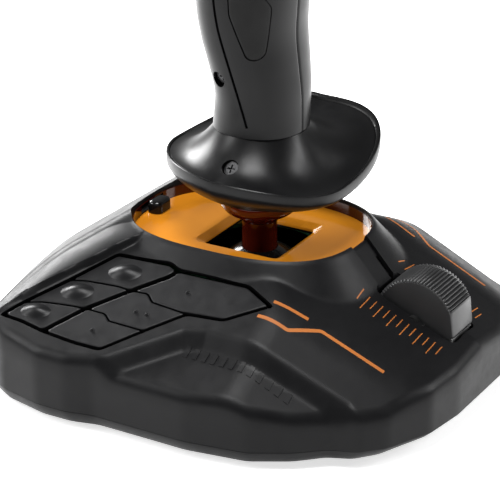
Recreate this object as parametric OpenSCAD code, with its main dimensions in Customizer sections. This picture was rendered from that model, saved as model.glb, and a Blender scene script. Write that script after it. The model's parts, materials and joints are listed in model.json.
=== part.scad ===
// Desktop flight joystick: a two-part base with push buttons and a throttle wheel, a sprung two-axis
// gimbal, and a twisting grip with a hand rest. The origin is on the table below the stick's axis,
// +X is to the user's right, +Y is away from the user and +Z is up.

/* [Base] */
// Width of the base across its side lobes
base_w = 182; // [180:0.5:184]
// Depth of the base
base_d = 194; // [192:0.5:196]
// Height of the joint between the two base shells
seam_z = 7.8; // [7.4:0.1:8.2]
// Thickness of the base shells
wall = 2.6; // [2:0.1:3]
// Height of the rubber feet below the lower shell
foot_h = 2; // [1.5:0.1:2.5]

/* [Light plate] */
// Half width of the oval plate opening
oval_a = 35.5; // [34:0.5:36]
// Half length of the oval plate opening
oval_b = 46.5; // [45:0.5:47]
// Height of the plate's upper face
plate_z = 54; // [53.5:0.1:54.5]
// Height of the top edge of the oval ring
ring_z = 59.8; // [59:0.1:60.5]
// Side of the square hole that the neck moves in
hole_w = 32.6; // [32:0.2:34]

/* [Gimbal] */
// Height of the stick's pivot
pivot_z = 28; // [27.5:0.1:28.5]
// Radius of the neck
neck_r = 6.9; // [6.5:0.1:7]
// Radius of the gimbal pins
gimbal_pin_r = 2.5; // [2.2:0.1:2.6]

/* [Throttle] */
// Radius of the throttle wheel
wheel_r = 17.3; // [17:0.1:17.4]
// Thickness of the throttle wheel
wheel_w = 17.5; // [16:0.5:17.5]
// Distance of the wheel's axle in front of the stick's axis
wheel_y = -72.3; // [-72.5:0.1:-72]
// Height of the wheel's axle
wheel_z = 36.4; // [36:0.1:36.6]

/* [Buttons] */
// Gap between neighbouring base buttons
button_gap = 1.1; // [1:0.1:1.6]
// Thickness of a base button
button_t = 3.5; // [3.2:0.1:3.6]
// Travel of a base button
button_travel = 1.2; // [0.8:0.1:1.2]

/* [Grip] */
// Reach of the hand rest to the right
rest_right = 50.5; // [48:0.5:51]
// Reach of the hand rest to the left
rest_left = 37; // [35:0.5:40]
// Total height of the joystick
total_h = 240; // [238:1:242]
// Wall thickness of the grip shells
grip_wall = 2.4; // [2:0.1:2.6]

/* [Hidden] */
$fn = 48;

black = [0.13, 0.13, 0.14];
dark = [0.07, 0.07, 0.08];
amber = [0.9, 0.55, 0.15];
steel = [0.7, 0.71, 0.73];
brass = [0.8, 0.65, 0.3];
board_green = [0.1, 0.35, 0.2];
silicone = [0.75, 0.75, 0.72];

fit = 0.05;          // radial clearance of a running fit
hair = 0.3;          // gap between parts that pass each other
half_w = base_w / 2;
half_d = base_d / 2;

// ---- helpers -------------------------------------------------------------------------------------

// A closed solid through rings of points, each ring anticlockwise seen from above
module loft(rings) {
    n = len(rings[0]);
    m = len(rings);
    points = [for (ring = rings) for (p = ring) p];
    bottom = [for (i = [0:n - 1]) i];
    top = [for (i = [n - 1:-1:0]) (m - 1) * n + i];
    sides = [
        for (k = [0:m - 2]) for (i = [0:n - 1])
            let (j = (i + 1) % n, a = k * n, b = a + n)
                each [[a + i, b + i, b + j], [a + i, b + j, a + j]]
    ];
    polyhedron(points, concat([bottom, top], sides));
}

// A closed ring-shaped solid through profiles, each profile running anticlockwise in (radius, z)
module turn(profiles) {
    n = len(profiles[0]);
    m = len(profiles);
    points = [for (profile = profiles) for (p = profile) p];
    faces = [
        for (k = [0:m - 1]) for (i = [0:n - 1])
            let (j = (i + 1) % n, a = k * n, b = ((k + 1) % m) * n)
                each [[a + i, b + i, b + j], [a + i, b + j, a + j]]
    ];
    polyhedron(points, faces);
}

// Puts the points of a flat outline at height z, scaled about the origin
function level(outline, z, k = 1) = [for (p = outline) [p[0] * k, p[1] * k, z]];

// A point on an oval with squared-off corners; e = 2 is an ellipse
function oval_point(t, a, b, e) = [
    a * sign(cos(t)) * pow(abs(cos(t)), 2 / e),
    b * sign(sin(t)) * pow(abs(sin(t)), 2 / e)
];

function oval(a, b, e, y = 0, n = 48) = [
    for (i = [0:n - 1]) oval_point(360 * (i + 0.5) / n, a, b, e) + [0, y]
];

// A round wire of radius r along a helix
module coil(mean_r, wire_r, turns, height) {
    sides = 6;
    steps = 12 * turns;
    loft([
        for (k = [0:steps]) let (t = 30 * k, z = height * k / steps) [
            for (i = [sides - 1:-1:0]) let (u = 360 * i / sides) [
                (mean_r + wire_r * cos(u)) * cos(t),
                (mean_r + wire_r * cos(u)) * sin(t),
                z + wire_r * sin(u)
            ]
        ]
    ]);
}

module both_sides() {
    children();
    mirror([1, 0, 0]) children();
}

// ---- the shape of the base -----------------------------------------------------------------------

// Right half of the base outline, from the front to the rear, with the notch below the side recess
half_outline = [
    [20, -half_d], [38, -94.5], [57, -86], [65, -78.5], [68.5, -68], [77, -58], [85.5, -43],
    [89.3, -18], [88.5, 22], [half_w, 33], [half_w - 0.2, 46], [86, 65], [77, 80], [62, 90],
    [38, 95.5], [14, half_d]
];
base_outline = concat(
    half_outline, [for (i = [len(half_outline) - 1:-1:0]) [-half_outline[i][0], half_outline[i][1]]]
);

// Planes that shape the deck. Each falls along a heading: [heading, distance, height, slope]
side_plane = [0, 46.2, 50.7, 0.47];
corner_plane = [-45, 67.7, 43.9, 0.66];
front_plane = [-74.7, 50.1, 48.6, 0.456];
rear_plane = [90, 46, 62.5, 0.66];
rear_corner_plane = [77.3, 88.8, 36, 1.2];
hood_lift = 2.5;
big = 300;

// Everything above a plane that is lowered by drop
module above(plane, drop = 0) {
    rotate([0, 0, plane[0]])
        translate([plane[1], 0, plane[2] - drop])
            rotate([0, atan(plane[3]), 0])
                translate([-big / 2, -big / 2, 0]) cube([big, big, big / 2]);
}

// Everything above the deck, lowered by drop
module above_deck(drop = 0) {
    both_sides() {
        above(side_plane, drop);
        above(corner_plane, drop);
        above(front_plane, drop);
        above(rear_corner_plane, drop);
    }
    above(rear_plane, drop);
}

module base_body(k, drop, bottom) {
    difference() {
        translate([0, 0, bottom]) linear_extrude(ring_z - bottom) scale([k, k]) polygon(base_outline);
        above_deck(drop);
    }
}

// The raised hood behind the buttons
module hood() {
    difference() {
        intersection() {
            translate([0, 0, seam_z]) linear_extrude(ring_z - seam_z) polygon(base_outline);
            linear_extrude(big) polygon([
                [-120, 104.5], [-44, 41.5], [-24, 30], [24, 30], [44, 41.5], [120, 104.5], [0, big]
            ]);
        }
        both_sides() {
            translate([0, 0, hood_lift]) above(side_plane);
            above(rear_corner_plane);
        }
        above(rear_plane);
    }
}

oval_y = 3.5;
oval_e = 2.7;
function plate_oval(grow) = oval(oval_a + grow, oval_b + grow, oval_e, oval_y);

module oval_prism(grow, z0, z1) {
    translate([0, 0, z0]) linear_extrude(z1 - z0) polygon(plate_oval(grow));
}

// The side recess: its plan on the right side
recess_plan = [
    [100, 38], [67, -5.3], [64.8, -14], [65, -40], [62.8, -72.7], [75, -100], [120, -80], [120, 38]
];
recess_depth = 4.6;

module recess_prism(grow) {
    translate([0, 0, seam_z]) linear_extrude(big) offset(delta = grow) polygon(recess_plan);
}

// ---- base buttons --------------------------------------------------------------------------------

// Corners of the button block on the right side: the rear row, the line between the rows, the front row
rear_row = [[42.3, 38.7], [57.9, 51], [71.9, 63.1], [79.2, 68.2]];
dividing_row = [[43.2, 11.1], [56.2, 24.3], [68.2, 37.3], [81.8, 48.2]];
front_row = [[60.3, -3], [71.4, 9.2], [83.3, 21.5]];
block_front = [[59.2, -18], [48.8, -32.4], [42.9, -19.5]];
rear_end = [79.9, 58.8];
// Bends of the lines between neighbouring buttons, each from its rear end to its front end
rear_divider_1 = [[56.7, 44.1], [55.8, 29.9]];
rear_divider_2 = [[69.9, 55.4], [68.4, 41.5]];
front_divider_1 = [[55.9, 17], [58.9, 13.4]];
front_divider_2 = [[68.4, 28.4], [70.9, 25.2]];

function back(points) = [for (i = [len(points) - 1:-1:0]) points[i]];

button_plans = [
    concat([rear_row[0], rear_row[1]], rear_divider_1, [dividing_row[1], dividing_row[0]]),
    concat([rear_row[1], rear_row[2]], rear_divider_2, [dividing_row[2], dividing_row[1]], back(rear_divider_1)),
    concat([rear_row[2], rear_row[3], rear_end, dividing_row[3], dividing_row[2]], back(rear_divider_2)),
    concat([dividing_row[0], dividing_row[1]], front_divider_1, [front_row[0]], block_front),
    concat([dividing_row[1], dividing_row[2]], front_divider_2, [front_row[1], front_row[0]], back(front_divider_1)),
    concat([dividing_row[2], dividing_row[3], front_row[2], front_row[1]], back(front_divider_2))
];
// Centre of the dome on each rear button, then of the dots on each front button
button_domes = [[49.3, 31.2], [62.1, 45], [74.4, 56]];
button_dots = [[51.5, 2.1], [64.6, 15.5], [76.4, 29.2]];
// Radius of each dome at the button's face, and their height
dome_sizes = [5.2, 4.6, 3.3];
dome_h = 1.3;
block_plan = concat(
    rear_row, [rear_end, dividing_row[3]], back(front_row), block_front, [dividing_row[0]]
);
deck_tilt = atan(side_plane[3]);

// Places children on the right side plane: x runs down the slope, z is the deck's normal
module on_deck() {
    translate([side_plane[1], 0, side_plane[2]]) rotate([0, deck_tilt, 0]) children();
}

function deck_xy(p) = [(p[0] - side_plane[1]) / cos(deck_tilt), p[1]];

module deck_outline(plan, grow) {
    offset(delta = grow) polygon([for (p = plan) deck_xy(p)]);
}

module deck_prism(plan, grow, z0, z1) {
    on_deck() translate([0, 0, z0]) linear_extrude(z1 - z0) deck_outline(plan, grow);
}

module base_button(i) {
    color(black) {
        deck_prism(button_plans[i], -button_gap / 2, -button_t, 0);
        if (i < 3) {
            // a shallow cap of a sphere
            reach = dome_sizes[i];
            r = (reach * reach + dome_h * dome_h) / (2 * dome_h);
            on_deck() translate(concat(deck_xy(button_domes[i]), [dome_h - r]))
                intersection() {
                    sphere(r);
                    translate([-reach, -reach, r - dome_h - 0.5]) cube([2 * reach, 2 * reach, 4]);
                }
        } else {
            on_deck() translate(concat(deck_xy(button_dots[i - 3]), [-0.1])) cylinder(r = 0.8, h = 0.5);
        }
    }
}

membrane_top = -(button_t + button_travel + 0.2);
membrane_t = 1.2;
button_board_t = 1.6;
board_bottom = membrane_top - membrane_t - button_board_t;

module membrane() {
    color(silicone) difference() {
        deck_prism(block_plan, -0.6, membrane_top - membrane_t, membrane_top);
        for (p = button_dots) on_deck() translate(concat(deck_xy(p), [membrane_top - 0.5]))
            cylinder(r = 2.5, h = 1);
    }
}

module button_board() {
    color(board_green) deck_prism(block_plan, -0.6, board_bottom, board_bottom + button_board_t);
}

// ---- base shells ---------------------------------------------------------------------------------

slot_w = 23.6;
slot_rear = -53.6;
slot_front = -90.6;
channel_w = 12.5;
// Places of the base screws on the right side
screw_places = [[60, 80], [76, -14], [38, -76], [22, 88]];
screw_r = 1.2;
shell_post_r = 3.4;

module upper_shell() {
    inner_k = 1 - wall / half_w;
    color(black) difference() {
        union() {
            difference() {
                union() {
                    base_body(1, 0, seam_z);
                    hood();
                    loft([level(plate_oval(7.6), 50), level(plate_oval(6.2), 53.4), level(plate_oval(0.9), ring_z)]);
                }
                // hollow, less deep below the recesses
                difference() {
                    base_body(inner_k, 3, seam_z - 1);
                    both_sides() intersection() {
                        recess_prism(wall);
                        above_deck(recess_depth + wall);
                    }
                }
            }
            // posts for the base screws
            intersection() {
                both_sides() for (p = screw_places) translate([p[0], p[1], seam_z])
                    cylinder(r = shell_post_r, h = 40);
                base_body(inner_k, 2, seam_z);
            }
            // skirts that hold the button boards
            both_sides() difference() {
                deck_prism(block_plan, 1.6, board_bottom, -1);
                deck_prism(block_plan, -0.5, board_bottom - 1, 0);
            }
        }
        both_sides() {
            intersection() {
                recess_prism(0);
                above_deck(recess_depth);
            }
            deck_prism(block_plan, 0.3, -9, 10);
            for (p = screw_places) translate([p[0], p[1], seam_z - 1]) cylinder(r = screw_r + fit, h = 13);
        }
        // plate opening, seat for the plate and rim clearance
        oval_prism(-0.6, 40, 70);
        oval_prism(1.6, 40, plate_z);
        // throttle slot and the channel that leads to it
        translate([-slot_w / 2, slot_front, seam_z + 1]) cube([slot_w, slot_rear - slot_front, 50]);
        translate([-channel_w / 2, slot_rear - 1, 0]) difference() {
            cube([channel_w, 30, 80]);
            translate([channel_w / 2, 1 - slot_rear, 0]) channel_floor();
        }
        // selector slot through the rear of the ring
        translate([-8, oval_y + oval_b - 4, plate_z + 0.6]) cube([16, 9, 3]);
        // cable gland hole
        translate([0, half_d - 8, 16]) rotate([-90, 0, 0]) cylinder(r = 4.2, h = 12);
    }
}

// Everything below the floor of the channel
module channel_floor() {
    difference() {
        translate([-big / 2, -big / 2, 0]) cube([big, big, ring_z - 2.2]);
        above(front_plane, 1.8);
        mirror([1, 0, 0]) above(front_plane, 1.8);
    }
}

floor_t = 2.4;

module lower_shell() {
    color(dark) difference() {
        union() {
            difference() {
                loft([level(base_outline, foot_h, 0.95), level(base_outline, seam_z - 2.4, 0.985), level(base_outline, seam_z, 0.985)]);
                translate([0, 0, foot_h + floor_t]) linear_extrude(20) scale([0.94, 0.94]) polygon(base_outline);
            }
            both_sides() for (p = screw_places) translate([p[0], p[1], foot_h]) cylinder(r = 4.6, h = seam_z - foot_h);
        }
        both_sides() for (p = screw_places) translate([p[0], p[1], 0]) {
            translate([0, 0, foot_h - 1]) cylinder(r = 2.8, h = 3.4);
            cylinder(r = screw_r + 0.3, h = 20);
        }
    }
}

module base_screws() {
    color(steel) both_sides() for (p = screw_places) translate([p[0], p[1], foot_h + 2.4]) difference() {
        union() {
            translate([0, 0, -1.8]) cylinder(r = 2.4, h = 1.8);
            cylinder(r = screw_r, h = 14);
        }
        translate([0, 0, -2.8]) cross_slot(3, 1.8);
    }
}

foot_places = [[60, 64], [48, -64]];

module rubber_feet() {
    color(dark) both_sides() for (p = foot_places) translate([p[0], p[1], 0]) {
        cylinder(r = 8, h = foot_h);
    }
}

module light_plate() {
    color(amber) difference() {
        oval_prism(1.4, plate_z - 3, plate_z);
        translate([0, 0, plate_z - 10]) linear_extrude(20) offset(r = 3)
            square(hole_w - 6, center = true);
        translate([-8.3, oval_y + oval_b - 12, plate_z - 1.2]) cube([16.6, 12, 3]);
    }
}

module selector_slider() {
    color(dark) translate([-5, oval_y + oval_b - 10.5, plate_z - 0.9]) {
        cube([10, 10, 2.2]);
        translate([5, 4.6, 1.7]) cylinder(r = 4.3, h = 4.3);
    }
}

module light_board() {
    color(board_green) difference() {
        oval_prism(-2, 46.6, 48.2);
        translate([0, 0, 40]) cylinder(r = 24, h = 20);
    }
    color("white") for (a = [30:60:330]) translate([28 * cos(a), oval_y + 34 * sin(a), 48.2])
        translate([-1.5, -1.5, 0]) cube([3, 3, 1.4]);
}

module cable_gland() {
    color(dark) translate([0, half_d - 6, 16]) rotate([-90, 0, 0]) difference() {
        union() {
            cylinder(r = 4.1, h = 6);
            cylinder(r = 5.6, h = 2.2);
        }
        translate([0, 0, -1]) cylinder(r = 2.2, h = 12);
    }
}

module main_board() {
    color(board_green) translate([-45, 42, 12.4]) cube([90, 34, 1.6]);
    color(dark) {
        translate([-8, 52, 14]) cube([14, 14, 2]);
        translate([20, 50, 14]) cube([8, 10, 1.6]);
        translate([-34, 56, 14]) cube([10, 6, 5]);
    }
    color(steel) for (x = [-40, 40]) translate([x, 46, foot_h + floor_t]) cylinder(r = 2.5, h = 12.4 - foot_h - floor_t);
}

module ballast_plate() {
    color(steel) difference() {
        translate([-52, 34, foot_h + floor_t]) cube([104, 44, 5]);
        for (x = [-40, 40]) translate([x, 46, 0]) cylinder(r = 3.2, h = 20);
    }
}

// ---- throttle ------------------------------------------------------------------------------------

axle_r = 1.6;
ear_x = wheel_w / 2 + 0.5;
ear_t = 2.2;

module throttle_wheel() {
    color(black) translate([0, wheel_y, wheel_z]) difference() {
        rotate([0, 90, 0]) cylinder(r = wheel_r, h = wheel_w, center = true, $fn = 96);
        rotate([0, 90, 0]) cylinder(r = axle_r, h = 40, center = true);
        // flat end towards the user
        rotate([-24, 0, 0]) translate([-20, -40, -28]) cube([40, 25.5, 28]);
        for (s = [-1, 1]) translate([s * (wheel_w / 2 + 3.2), 0, 0]) rotate([0, 90, 0])
            cylinder(r = wheel_r - 3, h = 8, center = true);
    }
}

module throttle_axle() {
    color(steel) translate([0, wheel_y, wheel_z]) rotate([0, 90, 0])
        cylinder(r = axle_r, h = 2 * (ear_x + ear_t), center = true);
}

module throttle_bracket() {
    color(dark) difference() {
        union() {
            both_sides() {
                translate([ear_x, wheel_y - 5, foot_h + floor_t])
                    cube([ear_t, 10, wheel_z - foot_h - floor_t]);
                translate([ear_x, wheel_y, wheel_z]) rotate([0, 90, 0]) cylinder(r = 2.6, h = ear_t);
            }
            translate([-ear_x, wheel_y - 5, foot_h + floor_t]) cube([2 * ear_x, 10, 3]);
        }
        translate([-20, wheel_y, wheel_z]) rotate([0, 90, 0]) cylinder(r = axle_r + fit, h = 40);
    }
}

module throttle_sensor() {
    color("royalblue") translate([ear_x + ear_t, wheel_y, wheel_z - 3]) difference() {
        translate([0, -4, -9]) cube([1.4, 8, 8]);
        translate([-1, 0, -6]) rotate([0, 90, 0]) cylinder(r = 1, h = 4);
    }
}

// ---- gimbal and stick ----------------------------------------------------------------------------

ring_out = 18;
ring_in = 12.8;
ring_h = 8;
pin_gap = 0.6;
post_in = ring_out + pin_gap;
post_out = post_in + 6;
housing_floor = foot_h + floor_t + 3;

module gimbal_housing() {
    color(dark) difference() {
        union() {
            translate([-30, -22, foot_h + floor_t]) cube([60, 44, 3]);
            both_sides() translate([post_in, -5, foot_h + floor_t]) cube([6, 10, pivot_z - foot_h - floor_t + 3.6]);
        }
        translate([-40, 0, pivot_z]) rotate([0, 90, 0]) cylinder(r = gimbal_pin_r + fit, h = 80);
        for (x = [-26, 26], y = [-18, 18]) translate([x, y, 0]) cylinder(r = 1.6, h = 20);
        translate([-8, -8, 0]) cube([16, 16, 20]);
    }
}

module gimbal_screws() {
    color(steel) for (x = [-26, 26], y = [-18, 18]) translate([x, y, foot_h + floor_t]) {
        cylinder(r = 1.5, h = 3);
        translate([0, 0, 3]) cylinder(r = 2.8, h = 1.8);
    }
}

module sensor_board() {
    color(board_green) translate([-12, -12, housing_floor]) cube([24, 24, 1.4]);
    color(dark) translate([-2, -2, housing_floor + 1.4]) cube([4, 4, 1]);
}

module gimbal_ring() {
    color(steel) translate([0, 0, pivot_z]) difference() {
        union() {
            difference() {
                cylinder(r = ring_out, h = ring_h, center = true);
                cylinder(r = ring_in, h = ring_h + 2, center = true);
            }
            both_sides() translate([ring_out - 2, 0, 0]) rotate([0, 90, 0])
                cylinder(r = gimbal_pin_r, h = post_out - ring_out + 2);
        }
        rotate([90, 0, 0]) cylinder(r = gimbal_pin_r + fit, h = 60, center = true);
    }
}

knuckle_r = 10.6;
knuckle_h = 11;

module stick_knuckle() {
    color(dark) translate([0, 0, pivot_z]) difference() {
        cylinder(r = knuckle_r, h = knuckle_h, center = true);
        rotate([90, 0, 0]) cylinder(r = gimbal_pin_r, h = 60, center = true);
    }
}

module roll_pin() {
    color(steel) translate([0, 0, pivot_z]) rotate([90, 0, 0]) cylinder(r = gimbal_pin_r, h = 2 * ring_out - 1, center = true);
}

holder_h = 6;

module magnet_holder() {
    color(dark) translate([0, 0, pivot_z - knuckle_h / 2 - holder_h]) difference() {
        cylinder(r = 4.6, h = holder_h);
        translate([0, 0, -1]) cylinder(r = 3, h = 4);
    }
}

module magnet() {
    color(steel) translate([0, 0, pivot_z - knuckle_h / 2 - holder_h]) cylinder(r = 3, h = 3);
}

spring_bottom = housing_floor + 3.8;

module centring_spring() {
    spring_wire = 0.7;
    color(steel) translate([0, 0, spring_bottom + spring_wire])
        coil(7.6, spring_wire, 4, pivot_z - knuckle_h / 2 - 2 * spring_wire - spring_bottom - 0.3);
}

shaft_bottom = pivot_z + knuckle_h / 2;
cup_z = 63;
cup_top = 70;
spindle_r = 5.6;
spindle_top = 110;

module neck_shaft() {
    color([0.35, 0.1, 0.03]) difference() {
        union() {
            translate([0, 0, shaft_bottom]) cylinder(r = neck_r, h = cup_top - shaft_bottom);
            translate([0, 0, cup_top]) cylinder(r = spindle_r, h = spindle_top - cup_top);
        }
        translate([0, 0, shaft_bottom + 4]) cylinder(r = 2.6, h = 100);
    }
}

dome_r = 22;
dome_t = 1.4;
dome_reach = 52;

module dust_dome() {
    color(dark) translate([0, 0, pivot_z]) difference() {
        sphere(dome_r, $fn = 64);
        sphere(dome_r - dome_t, $fn = 64);
        translate([-40, -40, -60 + dome_r * cos(dome_reach)]) cube([80, 80, 60]);
        cylinder(r = neck_r, h = 60);
    }
}

module neck_cup() {
    color([0.45, 0.13, 0.03]) difference() {
        rotate_extrude($fn = 64) polygon(concat(
            [[neck_r, cup_z - 3], [neck_r + 0.8, cup_z - 2]],
            [for (t = [0:15:90]) [8.5 + 7.5 * sin(t), cup_top - 0.4 - 6.6 * cos(t)]],
            [[16, cup_top - 0.2], [neck_r, cup_top - 0.2]]
        ));
        translate([0, 0, 40]) cylinder(r = neck_r, h = 40);
    }
}

// ---- grip ----------------------------------------------------------------------------------------

collar_z = 100;
// Stations of the grip: height, centre in y, half width, half depth
grip_stations = [
    [collar_z, -0.7, 18.4, 18.2], [107, -1.1, 19.4, 17.6], [115, -1.5, 21, 16.9], [126, 0, 23, 17.2],
    [138, 2.2, 24.4, 18.2], [152, 3, 25, 19.6], [168, 1.6, 24, 19.2], [184, -1, 22, 18.4],
    [196, -2.5, 21, 18.2], [206, -3, 21, 18.4]
];
head_z = 206;
grip_e = 2.2;

module grip_body(inset, z_extra = 0) {
    last = len(grip_stations) - 1;
    loft([
        for (k = [0:last]) let (s = grip_stations[k])
            level(oval(s[2] - inset, s[3] - inset, grip_e, s[1], 36),
                s[0] + (k == 0 ? -z_extra : k == last ? z_extra : 0))
    ]);
}

rest_front = 37.8;
rest_rear = 38.5;

// The hand rest reaches further to the right, where it carries the heel of the hand.
// Its front right quarter is the squarest and its rear left quarter the slimmest.
function rest_rim(t) = oval_point(
    t,
    cos(t) > 0 ? rest_right : rest_left,
    sin(t) > 0 ? rest_rear : rest_front,
    cos(t) > 0 ? (sin(t) > 0 ? 1.9 : 3.5) : (sin(t) > 0 ? 1.7 : 2.4)
);

// Height of the rim: lowest at the front, rising to the rear and to both sides
function rest_rim_z(p) = 79 + 6 * max(0, p[1]) / rest_rear
    + (p[0] > 0 ? 15 * pow(p[0] / rest_right, 2) : 7 * pow(p[0] / rest_left, 2));

// A point between the hub and the rim: q is 0 at the hub and 1 at the rim
function rest_point(t, q, hub, z_hub, z_rim, power, dip) = let (
    rim = rest_rim(t),
    x = hub * cos(t) + (rim[0] - hub * cos(t)) * q,
    y = hub * sin(t) - 0.7 * (1 - q) + (rim[1] - hub * sin(t)) * q
) [x, y, z_rim + (z_hub - z_rim) * pow(1 - q, power) - dip * sin(180 * q)];

rest_hub_z = cup_top + 0.2;
bush_r = 9;

function rest_profile(t) = let (
    z_rim = rest_rim_z(rest_rim(t)),
    dip = 5 * pow(max(0, cos(t)), 2)
) concat(
    [[bush_r * cos(t), bush_r * sin(t), rest_hub_z]],
    [for (q = [0:0.25:1]) rest_point(t, q, 15.5, rest_hub_z, z_rim - 0.6 - 0.9 * (1 + cos(t)), 0.55, 0)],
    [for (q = [1, 0.96, 0.8, 0.6, 0.4, 0.25, 0.12, 0])
        rest_point(t, q, 18.2, collar_z, z_rim + 2.2, 2.2, dip)],
    [[bush_r * cos(t), bush_r * sin(t), collar_z]]
);

// The screw enters the hand rest from the left, at right angles to its surface
module rest_screw_place() {
    translate([-24, -2, 89]) rotate([0, -50, 0]) children();
}

module cross_slot(w, depth) {
    for (a = [0, 90]) rotate([0, 0, a]) translate([-w / 2, -w / 10, 0]) cube([w, w / 5, depth]);
}

module hand_rest() {
    color(black) difference() {
        turn([for (i = [47:-1:0]) rest_profile(7.5 * i)]);
        translate([0, 0, 60]) cylinder(r = bush_r + 0.05, h = 60);
        rest_screw_place() {
            cylinder(r = 3.3, h = 20);
            translate([0, 0, -10]) cylinder(r = screw_r + fit, h = 12);
        }
    }
}

module rest_screw() {
    color(steel) rest_screw_place() difference() {
        union() {
            cylinder(r = 2.9, h = 2);
            translate([0, 0, -9]) cylinder(r = screw_r, h = 10);
        }
        translate([0, 0, 1]) cross_slot(3.4, 2);
    }
}

module twist_bush() {
    color(brass) translate([0, 0, cup_top + 1]) difference() {
        cylinder(r = 9, h = 28);
        translate([0, 0, -1]) cylinder(r = spindle_r + fit, h = 40);
    }
}

module twist_spring() {
    color(steel) translate([0, 0, 103]) coil(9, 0.6, 4, 7);
}

// A half of the grip: side is 1 on the right and -1 on the left
module grip_shell(side) {
    color(black) difference() {
        union() {
            difference() {
                grip_body(0);
                grip_body(grip_wall, 1);
            }
            // bosses for the grip screws
            intersection() {
                grip_body(0.5);
                for (p = grip_screw_places) translate([-26, p[0], p[1]]) rotate([0, 90, 0])
                    cylinder(r = 3.6, h = 52);
            }
        }
        translate([side > 0 ? -99.9 : -0.05, -100, 50]) cube([99.95, 200, 250]);
        grip_screw_holes();
        side_panel_shape(0.15);
        trigger_opening();
    }
}

// Where the grip screws enter from the left: y and z of each, and the depth of its head
grip_screw_places = [[6, 123.3, 15.5], [-9, 174, 17]];

module grip_screw_holes() {
    for (p = grip_screw_places) translate([0, p[0], p[1]]) rotate([0, -90, 0]) {
        translate([0, 0, -10]) cylinder(r = screw_r + fit, h = 40);
        translate([0, 0, p[2]]) cylinder(r = 3.2, h = 30);
    }
}

module grip_screws() {
    color(steel) for (p = grip_screw_places) translate([0, p[0], p[1]]) rotate([0, -90, 0]) difference() {
        union() {
            translate([0, 0, -9]) cylinder(r = screw_r, h = 9 + p[2]);
            translate([0, 0, p[2]]) cylinder(r = 2.8, h = 1.8);
        }
        translate([0, 0, p[2] + 1]) cross_slot(3.2, 2);
    }
}

// Soft tear-drop panels inlaid in both sides of the grip
panel_t = 1.2;

module side_panel_plan(grow) {
    offset(r = grow) hull() {
        translate([-8.9, 136]) circle(r = 2.9);
        translate([-6.9, 152]) circle(r = 6.3);
        translate([-4.5, 163]) circle(r = 4.5);
    }
}

module side_panel_shape(grow) {
    difference() {
        translate([-40, 0, 0]) rotate([90, 0, 90]) linear_extrude(80) side_panel_plan(grow);
        grip_body(panel_t + grow, 1);
    }
}

module side_panels() {
    color(dark) intersection() {
        side_panel_shape(0);
        grip_body(0);
    }
}

trigger_y = 7.5;
trigger_z = 198;

module trigger_opening() {
    translate([-7.6, 8, 172]) cube([15.2, 30, 29.5]);
}

module trigger() {
    color(dark) translate([-7, 0, 0]) rotate([90, 0, 90]) difference() {
        linear_extrude(14) difference() {
            hull() {
                translate([trigger_y, trigger_z - 1.2]) circle(r = 3.4);
                translate([18, 196.5]) circle(r = 4);
                translate([19.5, 178]) circle(r = 3.4);
                translate([14, 176]) circle(r = 2);
            }
            translate([34.5, 186]) circle(r = 12.5);
        }
        translate([trigger_y, trigger_z - 1.2, -1]) cylinder(r = 1.5 + fit, h = 20);
    }
}

module trigger_pin() {
    color(steel) translate([-10, trigger_y, trigger_z - 1.2]) rotate([0, 90, 0]) cylinder(r = 1.5, h = 20);
}

module trigger_frame() {
    color([0.3, 0.3, 0.32]) difference() {
        union() {
            both_sides() translate([7.4, trigger_y - 3.4, 184]) cube([2.6, 6.8, 16]);
            translate([-10, -8, 184]) cube([20, trigger_y + 5.5, 2]);
        }
        translate([-20, trigger_y, trigger_z - 1.2]) rotate([0, 90, 0]) cylinder(r = 1.5, h = 40);
    }
}

// ---- grip head -----------------------------------------------------------------------------------

// Stations of the head: height, centre in y, half width, half depth
head_stations = [
    [head_z, -3, 21, 18.4], [212, -2.6, 22.4, 20.4], [220, -1, 23.4, 22.4], [229, 1.4, 22.6, 22.6],
    [236, 3.4, 19.4, 19.6], [total_h, 4.4, 14, 14.4]
];
face_tilt = 32;
face_y = -4;
face_z = 230;

module head_body(inset) {
    loft([
        for (s = head_stations) level(oval(s[2] - inset, s[3] - inset, grip_e, s[1], 36), s[0] == head_z ? s[0] : s[0] - inset)
    ]);
}

// Places children on the slanted face that the thumb reaches: z is its normal
module on_face() {
    translate([0, face_y, face_z]) rotate([face_tilt, 0, 0]) children();
}

thumb_places = [[-13, 3], [0, -13.5], [13, 3]];
thumb_sizes = [4.2, 4.6, 4.2];
hat_well_r = 8.4;

module head_cap() {
    color(black) difference() {
        head_body(0);
        on_face() translate([-50, -50, 0]) cube([100, 100, 50]);
        on_face() translate([0, 0, -8]) cylinder(r = hat_well_r, h = 20);
        for (i = [0:2]) on_face() translate([thumb_places[i][0], thumb_places[i][1], -7])
            cylinder(r = thumb_sizes[i] + hair, h = 20);
        translate([0, -2, head_z - 1]) cylinder(r = 7, h = 5);
    }
}

module thumb_button(i) {
    color(dark) on_face() translate([thumb_places[i][0], thumb_places[i][1], -5]) {
        cylinder(r = thumb_sizes[i], h = 6.4);
        translate([0, 0, 6.4]) cylinder(r1 = thumb_sizes[i], r2 = thumb_sizes[i] - 0.6, h = 0.6);
    }
}

hat_pivot = -3;
hat_pin_r = 1;

module hat_cradle() {
    color(steel) on_face() translate([0, 0, hat_pivot]) difference() {
        union() {
            rotate([0, 90, 0]) cylinder(r = hat_pin_r, h = 2 * hat_well_r - 0.2, center = true);
            cube([7, 7, 3.4], center = true);
        }
        rotate([90, 0, 0]) cylinder(r = hat_pin_r + fit, h = 20, center = true);
    }
}

module hat_yoke() {
    color(steel) on_face() translate([0, 0, hat_pivot]) {
        rotate([90, 0, 0]) cylinder(r = hat_pin_r, h = 12, center = true);
        for (s = [-1, 1]) translate([-1.6, s * 5 - 1, -1.6]) cube([3.2, 2, 5.2]);
        translate([-1.6, -6, 2.6]) cube([3.2, 12, 1.8]);
    }
}

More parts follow.
